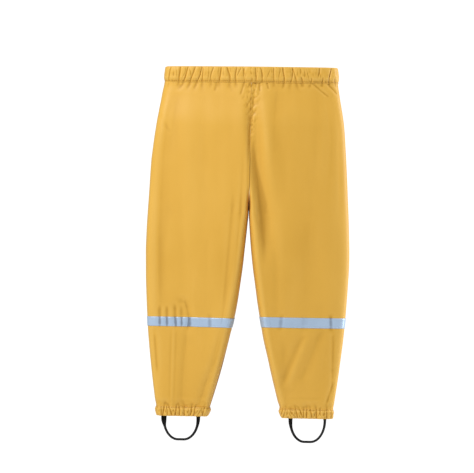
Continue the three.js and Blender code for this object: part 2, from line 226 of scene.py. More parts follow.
def lattice_noise(u, v, seed):
    """Smooth noise from -1 to 1 with one hill or hollow for each unit of u and v."""
    size = 64
    table = np.random.default_rng(seed).uniform(-1, 1, (size, size))
    u0 = np.floor(u).astype(int)
    v0 = np.floor(v).astype(int)
    fu = u - u0
    fv = v - v0
    fu = fu * fu * fu * (fu * (fu * 6 - 15) + 10)
    fv = fv * fv * fv * (fv * (fv * 6 - 15) + 10)
    low = table[u0 % size, v0 % size] * (1 - fu) + table[(u0 + 1) % size, v0 % size] * fu
    high = (
        table[u0 % size, (v0 + 1) % size] * (1 - fu)
        + table[(u0 + 1) % size, (v0 + 1) % size] * fu
    )
    return low * (1 - fv) + high * fv


# ------------------------------------------------------------------ gathers

ARC_SAMPLES = 1600


def arc_table(side, drop, face):
    """The distance round the cloth from the side seam, at evenly spaced turns."""
    around = face * np.linspace(0, 1, ARC_SAMPLES)
    points = body_curve(side, around, np.full(ARC_SAMPLES, drop))
    steps = np.linalg.norm(np.diff(points, axis=0), axis=1)
    return np.concatenate([[0], np.cumsum(steps)])


def arc_at(around, front_table, back_table):
    """Distance from the side seam: more than 0 in front and less than 0 behind."""
    turns = np.linspace(0, 1, ARC_SAMPLES)
    front = np.interp(np.abs(around), turns, front_table)
    back = np.interp(np.abs(around), turns, back_table)
    return np.where(around >= 0, front, -back)


def even_turns(count):
    """Turns from 0 to 1 whose places are about evenly spaced on both torso and leg."""
    torso = arc_table(1, HIP_DROP, 1)
    leg = arc_table(1, CALF_LINE, 1)
    share = (torso / torso[-1] + leg / leg[-1]) / 2
    return np.interp(np.linspace(0, 1, count), share, np.linspace(0, 1, ARC_SAMPLES))


WAIST_FRONT_ARC = arc_table(1, WAISTBAND_HEIGHT, 1)
WAIST_BACK_ARC = arc_table(1, WAISTBAND_HEIGHT, -1)
CUFF_FRONT_ARC = arc_table(1, CUFF_TOP, 1)
CUFF_BACK_ARC = arc_table(1, CUFF_TOP, -1)
WAIST_HALF = WAIST_FRONT_ARC[-1] + WAIST_BACK_ARC[-1]
CUFF_ROUND = CUFF_FRONT_ARC[-1] + CUFF_BACK_ARC[-1]


def waist_arc(side, around):
    """Distance round the waist from the centre front, more than 0 on the wearer's left."""
    return side * (WAIST_FRONT_ARC[-1] - arc_at(around, WAIST_FRONT_ARC, WAIST_BACK_ARC))


def cuff_arc(around):
    return arc_at(around, CUFF_FRONT_ARC, CUFF_BACK_ARC)


def make_creases(length, spacing, seed, lean=0.28):
    """Irregular creases round a closed band: place, depth, width, lean, run and sway."""
    draws = np.random.default_rng(seed)
    creases = []
    place = 0.0
    while place < length - 0.5 * spacing:
        creases.append(
            {
                "place": place,
                "depth": draws.uniform(0.45, 1.0),
                "width": draws.uniform(0.75, 1.35),
                "lean": draws.uniform(-lean, lean),
                "run": draws.uniform(0.35, 1.0),
                "sway": draws.uniform(-1, 1),
                "start": draws.uniform(0, 6.28),
            }
        )
        place += spacing * draws.uniform(0.55, 1.5)
    return creases


WAIST_CREASES = make_creases(2 * WAIST_HALF, 13 * MM, 11)
FINE_CREASES = make_creases(2 * WAIST_HALF, 8 * MM, 47)
CUFF_CREASES = {
    -1: make_creases(CUFF_ROUND, 7 * MM, 23, 0.35),
    1: make_creases(CUFF_ROUND, 7 * MM, 31, 0.35),
}


def crease_valleys(arc, away, creases, period, width, reach):
    """
    The depth of the creases at a distance round the band and a distance away from its
    seam, from 0 to about 1. reach is how far below the seam the longest crease fades out.
    """
    total = np.zeros(np.broadcast(arc, away).shape)
    for crease in creases:
        sway = 1.5 * MM * crease["sway"] * np.sin(away / (6 * MM) + crease["start"])
        offset = arc - crease["place"] - crease["lean"] * away - sway
        offset = offset - period * np.round(offset / period)
        own_width = width * crease["width"] * (1 + np.maximum(0, away) / (14 * MM))
        narrow = bell(offset / own_width)
        wide = bell(offset / (3.2 * own_width))
        fade = 1 - smoothstep(0.15, 1.0, np.maximum(0, away) / (reach * crease["run"]))
        if crease["run"] < 0.5 and crease["sway"] > 0:
            fade = fade * smoothstep(9 * MM, 17 * MM, -away)
        elif crease["run"] < 0.5:
            fade = fade * (1 - smoothstep(5 * MM, 13 * MM, -away))
        total += crease["depth"] * (0.75 * narrow + 0.25 * wide) * fade
    return total


# ------------------------------------------------------------------ making meshes


def grid_faces(rows, columns, close=False):
    """The quads of a grid of points, row by row. close joins the last column to the first."""
    spans = columns if close else columns - 1
    r, c = np.meshgrid(np.arange(rows - 1), np.arange(spans), indexing="ij")
    a = r * columns + c
    b = r * columns + (c + 1) % columns
    return np.stack([a, b, b + columns, a + columns], axis=-1).reshape(-1, 4)


def new_piece(name, points, faces, materials):
    """A smoothly shaded mesh object from points and faces."""
    mesh = bpy.data.meshes.new(name)
    mesh.from_pydata(points.reshape(-1, 3).tolist(), [], faces)
    for material in materials:
        mesh.materials.append(material)
    mesh.polygons.foreach_set("use_smooth", [True] * len(mesh.polygons))
    mesh.update()
    piece = bpy.data.objects.new(name, mesh)
    bpy.context.scene.collection.objects.link(piece)
    return piece


def corner_points(piece):
    """The number of the point at each corner of each face."""
    corners = np.empty(len(piece.data.loops), int)
    piece.data.loops.foreach_get("vertex_index", corners)
    return corners


def set_cloth_places(piece, places):
    """Cloth coordinates in metres, one pair for each corner of each face."""
    layer = piece.data.uv_layers.new(name="cloth")
    layer.data.foreach_set("uv", places.astype(np.float32).ravel())


def new_sheet(name, points, materials, flipped=False):
    """A piece from a grid of points, with cloth coordinates measured along the grid."""
    faces = grid_faces(*points.shape[:2])
    if flipped:
        faces = faces[:, ::-1]
    piece = new_piece(name, points, faces.tolist(), materials)
    set_cloth_places(piece, grid_uv(points).reshape(-1, 2)[corner_points(piece)])
    return piece


def select_only(piece):
    bpy.ops.object.select_all(action="DESELECT")
    piece.select_set(True)
    bpy.context.view_layer.objects.active = piece


def thicken(piece, thickness):
    """Gives a sheet its thickness inwards. Its last material is its inside."""
    select_only(piece)
    solid = piece.modifiers.new("thickness", "SOLIDIFY")
    solid.thickness = thickness
    solid.offset = -1
    solid.use_even_offset = False
    solid.material_offset = len(piece.data.materials) - 1
    solid.material_offset_rim = 0
    bpy.ops.object.modifier_apply(modifier=solid.name)


def point_normals_outward(piece):
    select_only(piece)
    bpy.ops.object.mode_set(mode="EDIT")
    bpy.ops.mesh.select_all(action="SELECT")
    bpy.ops.mesh.normals_make_consistent(inside=False)
    bpy.ops.object.mode_set(mode="OBJECT")


def unit(vectors):
    return vectors / np.maximum(np.linalg.norm(vectors, axis=-1, keepdims=True), 1e-12)


def grid_normals(points):
    """Unit normals of a grid of points, by its neighbours."""
    return unit(np.cross(np.gradient(points, axis=1), np.gradient(points, axis=0)))


def band_normals(points, sign):
    """Outward unit normals of a grid whose last column is next to its first."""
    along = np.roll(points, -1, axis=1) - np.roll(points, 1, axis=1)
    return sign * unit(np.cross(along, np.gradient(points, axis=0)))


def grid_uv(points):
    """Cloth coordinates in metres: distance along each row, and the mean distance down."""
    across = np.linalg.norm(np.diff(points, axis=1), axis=-1)
    down = np.linalg.norm(np.diff(points, axis=0), axis=-1).mean(axis=1)
    u = np.concatenate([np.zeros((len(points), 1)), np.cumsum(across, axis=1)], axis=1)
    v = np.concatenate([[0], np.cumsum(down)])
    return np.stack([u, -v[:, None] + 0 * u], axis=-1)


def resample(grid, rows, columns):
    """A grid of vectors at other rows and columns, smoothly."""

    def cubic(values, places):
        last = len(values) - 1
        i = np.clip(np.floor(places).astype(int), 0, last - 1)
        t = (places - i).reshape(-1, *([1] * (values.ndim - 1)))
        p0 = values[np.maximum(i - 1, 0)]
        p1 = values[i]
        p2 = values[i + 1]
        p3 = values[np.minimum(i + 2, last)]
        return p1 + 0.5 * t * (
            p2 - p0 + t * (2 * p0 - 5 * p1 + 4 * p2 - p3 + t * (3 * (p1 - p2) + p3 - p0))
        )

    down = cubic(grid, rows)
    return np.swapaxes(cubic(np.swapaxes(down, 0, 1), columns), 0, 1)


# ------------------------------------------------------------------ hanging the cloth

SIDES = (("right", -1), ("left", 1))
FACES = (("front", 1), ("back", -1))
HANG_COLUMNS = 41
HANG_ROWS_ABOVE = 50
HANG_ROWS_BELOW = 71
HANG_FRAMES = 26
CLOTH_SPRINGS = {"tension": (20, 8), "compression": (20, 8), "shear": (8, 8), "bending": (0.6, 0.6)}
LARGEST_FOLD = 5 * MM
LOOSE_HOLD = 0.012
TAPE_HOLD = 0.08
HANG_TURNS = even_turns(HANG_COLUMNS)
PANEL_TOP = WAISTBAND_HEIGHT - 1 * MM
PANEL_BOTTOM = CUFF_TOP + 1 * MM
HANG_DROPS = np.concatenate(
    [
        np.linspace(PANEL_TOP, RISE, HANG_ROWS_ABOVE),
        np.linspace(RISE, PANEL_BOTTOM, HANG_ROWS_BELOW)[1:],
    ]
)
HANG_ROWS = len(HANG_DROPS)
CROTCH_ROW = HANG_ROWS_ABOVE - 1


def fullness_of_cut(drop):
    """How much wider the cloth was cut than the shape that it is gathered to."""
    waist = 0.05 * (1 - smoothstep(0, 60 * MM, drop - WAISTBAND_HEIGHT))
    cuff = 0.07 * smoothstep(-110 * MM, 0, drop - CUFF_TOP)
    return 1.006 + waist + cuff


GATHER_DEPTH = 1.2 * MM
WAIST_GATHER = (2.6 * MM, 26 * MM)  # a crease's width, and how far below the casing it runs
CUFF_GATHER = (2.0 * MM, 15 * MM)
DRIFT_DEPTH = 0.8 * MM


def seed_folds(side, around, drop):
    """The gathers that the hanging cloth starts from, outwards, in metres."""
    waist = crease_valleys(
        waist_arc(side, around), drop - WAISTBAND_HEIGHT,
        WAIST_CREASES, 2 * WAIST_HALF, *WAIST_GATHER,
    )
    right_cuff, left_cuff = (
        crease_valleys(
            cuff_arc(around), CUFF_TOP - drop, CUFF_CREASES[own], CUFF_ROUND, *CUFF_GATHER
        )
        for own in (-1, 1)
    )
    cuff = np.where(np.asarray(side) > 0, left_cuff, right_cuff)
    drift = lattice_noise(around * 5 + 7 * side + 20, drop / (90 * MM), 5)
    return DRIFT_DEPTH * drift - GATHER_DEPTH * (waist + cuff)


def hang_cloth():
    """Lets the sewn cloth hang and buckle, and returns how each panel's points moved."""
    count = HANG_ROWS * HANG_COLUMNS
    own = {}
    base = {}
    start = {}
    rest = {}
    for k, (side, face) in enumerate([(-1, 1), (-1, -1), (1, 1), (1, -1)]):
        drops, turns = np.meshgrid(HANG_DROPS, face * HANG_TURNS, indexing="ij")
        points = body_curve(side, turns, drops)
        normals = body_normal(side, turns, drops)
        base[side, face] = points
        start[side, face] = points + normals * seed_folds(side, turns, drops)[..., None]
        cut = fullness_of_cut(drops)[..., None]
        flat = points.copy()
        flat[..., :2] *= cut
        flat[..., 2] *= 1.001
        rest[side, face] = flat
        own[side, face] = k * count + np.arange(count).reshape(HANG_ROWS, HANG_COLUMNS)
    index = {key: value.copy() for key, value in own.items()}
    for side in (-1, 1):
        index[side, -1][:, 0] = index[side, 1][:, 0]
        index[side, -1][CROTCH_ROW:, -1] = index[side, 1][CROTCH_ROW:, -1]
    for face in (1, -1):
        index[1, face][: CROTCH_ROW + 1, -1] = index[-1, face][: CROTCH_ROW + 1, -1]
    index[-1, -1][CROTCH_ROW, -1] = index[-1, 1][CROTCH_ROW, -1]
    index[1, -1][CROTCH_ROW, -1] = index[-1, 1][CROTCH_ROW, -1]

    everything = np.concatenate([index[key].ravel() for key in own])
    used, compact = np.unique(everything, return_inverse=True)
    compact = compact.reshape(len(own), HANG_ROWS, HANG_COLUMNS)
    starts = np.concatenate([start[key].reshape(-1, 3) for key in own])[used]
    rests = np.concatenate([rest[key].reshape(-1, 3) for key in own])[used]
    pins = np.concatenate([pin_weights().ravel() for _ in own])[used]
    faces = []
    for k, (side, face) in enumerate(own):
        corner = grid_faces(HANG_ROWS, HANG_COLUMNS)
        if side * face < 0:
            corner = corner[:, ::-1]
        faces.append(compact[k].ravel()[corner])
    cloth = new_piece("hanging_cloth", starts, np.concatenate(faces).tolist(), [])
    select_only(cloth)
    cloth.shape_key_add(name="hanging")
    cut_shape = cloth.shape_key_add(name="cut")
    cut_shape.data.foreach_set("co", rests.ravel())
    cut_shape.value = 0
    held = cloth.vertex_groups.new(name="held")
    for weight in np.unique(pins):
        if weight > 0:
            held.add(np.nonzero(pins == weight)[0].tolist(), float(weight), "REPLACE")
    modifier = cloth.modifiers.new("cloth", "CLOTH")
    settings = modifier.settings
    settings.rest_shape_key = cut_shape
    settings.vertex_group_mass = "held"
    settings.pin_stiffness = 1.0
    settings.quality = 6  # steps of the simulation in each frame
    settings.mass = 0.15
    for kind, (stiffness, damping) in CLOTH_SPRINGS.items():
        setattr(settings, f"{kind}_stiffness", stiffness)
        setattr(settings, f"{kind}_damping", damping)
    settings.air_damping = 3
    settings.effector_weights.gravity = 0.25
    modifier.collision_settings.use_collision = False
    modifier.collision_settings.use_self_collision = False
    modifier.point_cache.frame_start = 1
    modifier.point_cache.frame_end = HANG_FRAMES
    for moment in range(1, HANG_FRAMES + 1):
        bpy.context.scene.frame_set(moment)
    hung = cloth.evaluated_get(bpy.context.evaluated_depsgraph_get())
    after = np.empty(len(used) * 3)
    hung.data.vertices.foreach_get("co", after)
    after = after.reshape(-1, 3)
    bpy.context.scene.frame_set(1)
    bpy.data.objects.remove(cloth)
    return {key: without_sag(after[compact[k]] - start[key]) for k, key in enumerate(own)}


def without_sag(moved):
    """The folds alone: the movement less its own broad average."""
    broad = moved
    for axis, reach in ((0, 7), (1, 4), (0, 7), (1, 4)):
        size = moved.shape[axis]
        shifted = [
            np.take(broad, np.clip(np.arange(size) + k, 0, size - 1), axis=axis)
            for k in range(-reach, reach + 1)
        ]
        broad = sum(shifted) / len(shifted)
    return np.clip(moved - broad, -LARGEST_FOLD, LARGEST_FOLD)


def pin_weights():
    """1 where the casings hold the cloth, less at the tape, and a little everywhere else."""
    weights = np.full(HANG_ROWS, LOOSE_HOLD)
    near_tape = np.abs(HANG_DROPS - (TAPE_TOP + TAPE_BOTTOM) / 2) < 10 * MM
    weights[near_tape] = TAPE_HOLD
    weights[0] = 1
    weights[-1] = 1
    return np.repeat(weights[:, None], HANG_COLUMNS, axis=1)


hung_moves = hang_cloth()

# ------------------------------------------------------------------ materials


def new_node(material, kind, inputs, **settings):
    """Adds a shader node. inputs maps its sockets to a value or to another node's socket."""
    node = material.node_tree.nodes.new(kind)
    for name, value in settings.items():
        setattr(node, name, value)
    for key, value in inputs.items():
        if isinstance(value, bpy.types.NodeSocket):
            material.node_tree.links.new(value, node.inputs[key])
        else:
            node.inputs[key].default_value = value
    return node


def principled(name, roughness, **sockets):
    material = bpy.data.materials.new(name)
    material.use_nodes = True
    shader = material.node_tree.nodes["Principled BSDF"]
    shader.inputs["Roughness"].default_value = roughness
    for key, value in sockets.items():
        shader.inputs[key.replace("_", " ")].default_value = value
    return material, shader


def cloth_place(material):
    return new_node(material, "ShaderNodeUVMap", {}, uv_map="cloth").outputs["UV"]


def object_place(material):
    return new_node(material, "ShaderNodeTexCoord", {}).outputs["Object"]


def stretched(material, place, scale):
    mapping = new_node(material, "ShaderNodeMapping", {"Vector": place, "Scale": scale})
    return mapping.outputs["Vector"]


def noise(material, place, scale, detail=2.0):
    node = new_node(
        material, "ShaderNodeTexNoise", {"Vector": place, "Scale": scale, "Detail": detail}
    )
    return node.outputs["Fac"]


def stripes(material, place, period, direction, distortion=0.0):
    """Even stripes of a period in metres across the cloth (X) or down it (Y)."""
    node = new_node(
        material, "ShaderNodeTexWave",
        {"Vector": place, "Scale": math.pi / (10 * period), "Distortion": distortion},
        bands_direction=direction,
    )
    return node.outputs["Fac"]


def turned(material, place, degrees):
    node = new_node(
        material, "ShaderNodeMapping",
        {"Vector": place, "Rotation": (0, 0, math.radians(degrees))},
    )
    return node.outputs["Vector"]


def combined(material, kind, first, second):
    """Two values added, multiplied or compared, by the kind of sum."""
    node = new_node(material, "ShaderNodeMath", {0: first, 1: second}, operation=kind)
    return node.outputs[0]


def weighed(material, first, second, share):
    """A share of the first value and the rest of the second."""
    return combined(
        material, "ADD",
        combined(material, "MULTIPLY", first, share),
        combined(material, "MULTIPLY", second, 1 - share),
    )


def lattice(material, place, period):
    """Raised lines both ways."""
    across = stripes(material, place, period, "X")
    down = stripes(material, place, period, "Y")
    return combined(material, "MAXIMUM", across, down)


def spread(material, value, low, high):
    """A value from 0 to 1 moved to run from low to high."""
    node = new_node(
        material, "ShaderNodeMapRange", {"Value": value, "To Min": low, "To Max": high}
    )
    return node.outputs["Result"]


def blended(material, factor, first, second):
    node = new_node(
        material, "ShaderNodeMix", {0: factor, 6: first, 7: second}, data_type="RGBA"
    )
    return node.outputs[2]


def link(material, output, shader, socket):
    material.node_tree.links.new(output, shader.inputs[socket])


def raise_surface(material, shader, height, strength, distance):
    bump = new_node(
        material, "ShaderNodeBump",
        {"Height": height, "Strength": strength, "Distance": distance},
    )
    link(material, bump.outputs["Normal"], shader, "Normal")


def fold_share(material):
    """-1 on the crest of a fold and 1 at the bottom of a crease, kept on the cloth; it masks
    painted shade and highlight.
    """
    return new_node(material, "ShaderNodeAttribute", {}, attribute_name="fold").outputs["Fac"]


def make_coated_fabric():
    """Plain-woven cloth under a thin soft coating: the weave just shows through."""
    material, shader = principled(
        "coated_fabric", 0.46, Sheen_Weight=0.03, Sheen_Roughness=0.4, Coat_Weight=0.02,
        Coat_Roughness=0.35, Specular_IOR_Level=0.32,
    )
    cloth = cloth_place(material)
    place = object_place(material)
    clouds = noise(material, place, 7)
    rubs = noise(material, stretched(material, place, (55, 55, 9)), 1, 3)
    grain = noise(material, place, 900, 1)
    ground = blended(
        material, spread(material, clouds, -0.6, 1.6),
        (0.765, 0.422, 0.055, 1), (0.805, 0.456, 0.068, 1),
    )
    rubbed = blended(
        material, spread(material, rubs, -0.5, 0.45), ground, (0.84, 0.485, 0.085, 1)
    )
    # Painted shade and painted highlight: the fold value darkens crease bottoms to a deep saturated
    # orange and lightens fold crests.
    fold = fold_share(material)
    painted_crease_shade = blended(material, spread(material, fold, 0, 0.85), rubbed, (0.47, 0.225, 0.015, 1))
    crest = combined(material, "MULTIPLY", fold, -0.45)
    painted_crest_highlight = blended(material, crest, painted_crease_shade, (0.90, 0.56, 0.13, 1))
    speck = blended(material, spread(material, grain, 0, 0.10), painted_crest_highlight, (0.62, 0.30, 0.02, 1))
    link(material, speck, shader, "Base Color")
    link(material, spread(material, rubs, 0.40, 0.54), shader, "Roughness")
    across = stripes(material, cloth, 0.62 * MM, "X", 0.6)
    down = stripes(material, cloth, 0.58 * MM, "Y", 0.6)
    weave = combined(material, "MULTIPLY", across, down)
    height = combined(material, "ADD", weave, combined(material, "MULTIPLY", grain, 1.3))
    raise_surface(material, shader, height, 0.22, 0.12 * MM)
    return material


def make_knitted_backing():
    """The brushed knit on the cloth's inside: rows of small loops."""
    material, shader = principled("knitted_backing", 0.9, Sheen_Weight=0.35)
    cloth = cloth_place(material)
    wales = stripes(material, cloth, 1.1 * MM, "X", 2.5)
    courses = stripes(material, cloth, 0.8 * MM, "Y", 1.5)
    loops = combined(material, "MULTIPLY", wales, courses)
    fuzz = noise(material, object_place(material), 420, 3)
    shade = weighed(material, loops, fuzz, 0.6)
    colour = blended(material, shade, (0.50, 0.29, 0.075, 1), (0.74, 0.50, 0.20, 1))
    link(material, colour, shader, "Base Color")
    raise_surface(material, shader, shade, 0.5, 0.3 * MM)
    return material


def make_reflective_tape():
    """Silvery glass-bead tape with a fine slanting lattice."""
    material, shader = principled("reflective_tape", 0.38, Metallic=0.25, Specular_IOR_Level=0.5)
    cloth = cloth_place(material)
    slanting = lattice(material, turned(material, cloth, 45), 1.6 * MM)
    beads = new_node(
        material, "ShaderNodeTexVoronoi", {"Vector": object_place(material), "Scale": 2600}
    ).outputs["Distance"]
    smudge = noise(material, object_place(material), 26, 3)
    ground = blended(
        material, spread(material, smudge, -0.3, 1.2),
        (0.43, 0.575, 0.765, 1), (0.52, 0.685, 0.89, 1),
    )
    beaded = blended(material, spread(material, beads, 0, 0.35), ground, (0.32, 0.42, 0.58, 1))
    latticed = blended(
        material, spread(material, slanting, 0, 0.16), beaded, (0.70, 0.84, 0.98, 1)
    )
    # Painted shade: the fold value darkens the tape in its creases.
    fold = fold_share(material)
    tape_painted_crease_shade = blended(material, spread(material, fold, 0, 0.75), latticed, (0.16, 0.19, 0.25, 1))
    link(material, tape_painted_crease_shade, shader, "Base Color")
    link(material, spread(material, smudge, 0.3, 0.5), shader, "Roughness")
    raise_surface(material, shader, combined(material, "ADD", slanting, beads), 0.3, 0.1 * MM)
    return material


def make_sewing_thread():
    """Two-ply thread: slanting highlights along each stitch."""
    material, shader = principled("sewing_thread", 0.55, Sheen_Weight=0.3)
    ply = stripes(material, turned(material, cloth_place(material), 35), 0.45 * MM, "X")
    colour = blended(material, ply, (0.42, 0.19, 0.012, 1), (0.72, 0.38, 0.045, 1))
    link(material, colour, shader, "Base Color")
    raise_surface(material, shader, ply, 0.6, 0.1 * MM)
    return material


def make_ribbed_elastic(name, dark, light, period, sheen):
    """Braided elastic: cords along it under a fine cross weave."""
    material, shader = principled(name, 0.8, Sheen_Weight=sheen, Specular_IOR_Level=0.2)
    cloth = cloth_place(material)
    cords = stripes(material, cloth, period, "Y")
    picks = stripes(material, cloth, period * 0.55, "X", 1.2)
    braid = combined(material, "MULTIPLY", cords, spread(material, picks, 0.45, 1))
    lint = noise(material, object_place(material), 700, 2)
    shade = weighed(material, braid, lint, 0.7)
    link(material, blended(material, shade, dark, light), shader, "Base Color")
    raise_surface(material, shader, braid, 0.7, 0.3 * MM)
    return material


def make_seam_tape():
    """Smooth heat-sealed film with a faint mesh pressed into it."""
    material, shader = principled("seam_tape", 0.34, Coat_Weight=0.25, Coat_Roughness=0.2)
    cloth = cloth_place(material)
    mesh = lattice(material, cloth, 0.9 * MM)
    haze = noise(material, object_place(material), 60, 3)
    ground = blended(material, haze, (0.56, 0.40, 0.17, 1), (0.68, 0.52, 0.27, 1))
    colour = blended(material, spread(material, mesh, 0, 0.3), ground, (0.74, 0.62, 0.40, 1))
    link(material, colour, shader, "Base Color")
    raise_surface(material, shader, mesh, 0.3, 0.1 * MM)
    return material


def make_label_cloth():
    """White satin ribbon: a close weave, a little yellowed at random."""
    material, shader = principled("label_cloth", 0.5, Sheen_Weight=0.4)
    cloth = cloth_place(material)
    satin = combined(
        material, "MULTIPLY",
        stripes(material, cloth, 0.4 * MM, "X"), stripes(material, cloth, 0.7 * MM, "Y", 1.0),
    )
    haze = noise(material, object_place(material), 90, 3)
    ground = blended(material, haze, (0.80, 0.79, 0.75, 1), (0.88, 0.88, 0.86, 1))
    colour = blended(material, spread(material, satin, 0, 0.25), ground, (0.66, 0.66, 0.64, 1))
    link(material, colour, shader, "Base Color")
    raise_surface(material, shader, satin, 0.35, 0.1 * MM)
    return material


coated_fabric = make_coated_fabric()
knitted_backing = make_knitted_backing()
reflective_tape = make_reflective_tape()
sewing_thread = make_sewing_thread()
strap_elastic = make_ribbed_elastic(
    "strap_elastic", (0.001, 0.001, 0.001, 1), (0.006, 0.006, 0.0065, 1), 1.1 * MM, 0
)
knitted_elastic = make_ribbed_elastic(
    "knitted_elastic", (0.45, 0.45, 0.43, 1), (0.82, 0.82, 0.80, 1), 1.6 * MM, 0.3
)
seam_tape = make_seam_tape()
label_cloth = make_label_cloth()

# ------------------------------------------------------------------ the finished cloth

PANEL_COLUMNS = 121
PANEL_ROWS_ABOVE = 136
PANEL_ROWS_BELOW = 186
PANEL_DROPS = np.concatenate(
    [
        np.linspace(PANEL_TOP, RISE, PANEL_ROWS_ABOVE),
        np.linspace(RISE, PANEL_BOTTOM, PANEL_ROWS_BELOW)[1:],
    ]
)
FABRIC = 0.7 * MM
SEAM_EDGE = 0.000004  # share of a panel's width left open at each seam
HELD_EDGE = 14 * MM  # how far from a casing its hold on the cloth is felt
HELD_SEAM = 0.06  # the same beside a seam, as a share of a panel's width
FOLD_REACH = 2  # points to either side that a crease is judged by
CREASE_DEPTH = 0.55 * MM  # depth between those points of a full crease
PANEL_SHADE = 0.7  # how strongly painted shade darkens the panels' creases and painted highlight lightens their crests

# Folds pressed and pulled into the front: the drops and places across of the line that each
# one follows, how far it reaches to either side, and how far it goes in (or out, below 0),
# all in millimetres.
FRONT_FOLDS = [
    # the torso, wearer's right
    ([60, 100, 160, 280, 430], [-150, -156, -163, -167, -164], (5, 15), -3.2),
    ([60, 100, 160, 280, 430], [-136, -141, -147, -150, -146], (9, 24), 1.2),
    ([80, 112], [-156, -140], (5, 5), 0.35),
    ([28, 48], [-13, -18], (2.4, 2.4), 0.8),
    ([27, 42], [-60, -62], (2.5, 2.5), 0.5),
    # the centre-front seam and the slack beside it
    ([24, 60, 110, 150], [8, 4, 0, -1], (3, 3), 1.3),
    ([110, 160, 246], [-1, -2, -1], (3, 3), 1.2),
    ([60, 108, 134, 173, 216, 259, 300], [2, 4, 7, 14, 21, 26, 29], (10, 17), 8.6),
    ([40, 90, 150], [21, 24, 32], (9, 14), -1.1),
    ([28, 60, 110, 170], [47, 44, 41, 44], (8, 14), 0.9),
    # pinches under the waistband, wearer's left
    ([26, 42], [13, 15], (2, 2), 1.0),
    ([26, 38], [26, 29], (2, 2), 0.9),
    ([27, 36, 48], [104, 115, 130], (2.4, 2.4), 1.3),
    ([27, 44], [131, 146], (2.4, 2.4), 1.1),
    ([60, 110, 240], [144, 153, 158], (5, 5), 0.6),
    # thighs
    ([170, 300, 420], [-12, -17, -26], (2.5, 5), 0.4),
    ([230, 420], [-28, -40], (3, 6), 0.4),
    ([290, 360, 440], [104, 112, 118], (24, 24), 2.0),
    ([300, 440], [45, 52], (9, 9), 0.6),
    # creases through the tape, wearer's right
    ([414, 446], [-149, -148], (4, 4), 0.7),
    ([414, 446], [-137, -136], (3, 5), 0.9),
    ([410, 446], [-123, -121], (4.4, 4.4), 1.3),
    ([414, 446], [-112, -111], (3, 5), 0.9),
    ([404, 430, 450], [-104, -98, -99], (4, 7), 1.8),
    ([398, 430], [-112, -106], (9, 9), 1.2),
    ([424, 447], [-63, -62], (5, 5), 0.4),
    # creases through the tape, wearer's left: shallower
    ([422, 450], [144, 145], (5, 5), 0.9),
    ([422, 450], [60, 58], (6, 6), 0.7),
    ([424, 450], [98, 99], (9, 9), 0.5),
    # calves
    ([446, 520, 592], [-100, -105, -107], (7, 14), 2.2),
    ([450, 590], [-124, -125], (3, 3), -0.6),
    ([446, 500, 545, 588], [-36, -50, -66, -78], (8, 12), 2.6),
    ([456, 524], [-158, -152], (3, 6), 1.2),
    ([455, 566], [149, 149], (2.4, 4), 0.6),
    ([460, 540], [106, 76], (7, 7), -0.7),
    ([460, 545], [94, 62], (8, 8), 1.3),
    ([450, 530], [128, 100], (9, 12), 1.5),
    ([470, 585], [66, 72], (10, 12), 1.5),
    ([540, 575], [150, 140], (3, 3), 1.0),
]


def fold_depth(x, drop):
    """How far the front cloth goes in at a place across and a drop, in metres."""
    total = np.zeros(np.broadcast(x, drop).shape)
    for drops, places, (right_reach, left_reach), depth in FRONT_FOLDS:
        offset = x / MM - np.interp(drop / MM, drops, places)
        end = 0.22 * (drops[-1] - drops[0])
        fade = smoothstep(drops[0] - end, drops[0] + end, drop / MM) * (
            1 - smoothstep(drops[-1] - end, drops[-1] + end, drop / MM)
        )
        total += depth * MM * bell(offset / np.where(offset < 0, right_reach, left_reach)) * fade
    return total


def seam_puckers(x, drop):
    """Small crinkles where the centre-front seam is drawn up, outwards, in metres."""
    reach = 12 * MM - 6 * MM * smoothstep(50 * MM, 110 * MM, drop)
    near = bell((x - 1 * MM) / reach) * (1 - smoothstep(85 * MM, 145 * MM, drop))
    leaning = drop + 0.3 * x
    crinkle = lattice_noise(x / (7 * MM) + 9, leaning / (8 * MM), 3)
    fine = lattice_noise(x / (3 * MM) + 9, leaning / (4.2 * MM), 4)
    return near * (1.15 * MM * crinkle + 0.4 * MM * fine)


def small_shapes(side, around, drop):
    """Seams, pressed folds and puckers on the hanging cloth, outwards, in metres."""
    x = body_curve(side, around, drop)[..., 0]
    on_front = smoothstep(0.0, 0.12, around)
    arc = np.abs(arc_at(around, WAIST_FRONT_ARC, WAIST_BACK_ARC))
    from_inside = WAIST_HALF / 2 - arc
    side_seam = 0.7 * MM * bell(arc / (1.3 * MM))
    inner_seam = 0.7 * MM * bell(from_inside / (1.3 * MM))
    slack = bell((drop - 440 * MM) / (75 * MM)) * smoothstep(0.55, 0.95, np.abs(around))
    inner_slack = 3.2 * MM * slack * (np.asarray(side) < 0)
    back_puckers = (around < 0) * seam_puckers(x, drop) * 0.8
    small = 0.22 * MM * lattice_noise(x / (26 * MM) + 9, drop / (31 * MM), 8)
    return (
        small
        + inner_slack
        - side_seam
        - inner_seam
        - on_front * fold_depth(x, drop)
        + on_front * seam_puckers(x, drop)
        + back_puckers
    )


def hung_share(drop):
    """How much of the hanging cloth's movement is kept: most at the waist, least at the cuffs."""
    waist = 1 - smoothstep(20 * MM, 110 * MM, drop - WAISTBAND_HEIGHT)
    cuff = smoothstep(-120 * MM, -10 * MM, drop - CUFF_TOP)
    return 0.14 + 0.05 * waist - 0.08 * cuff


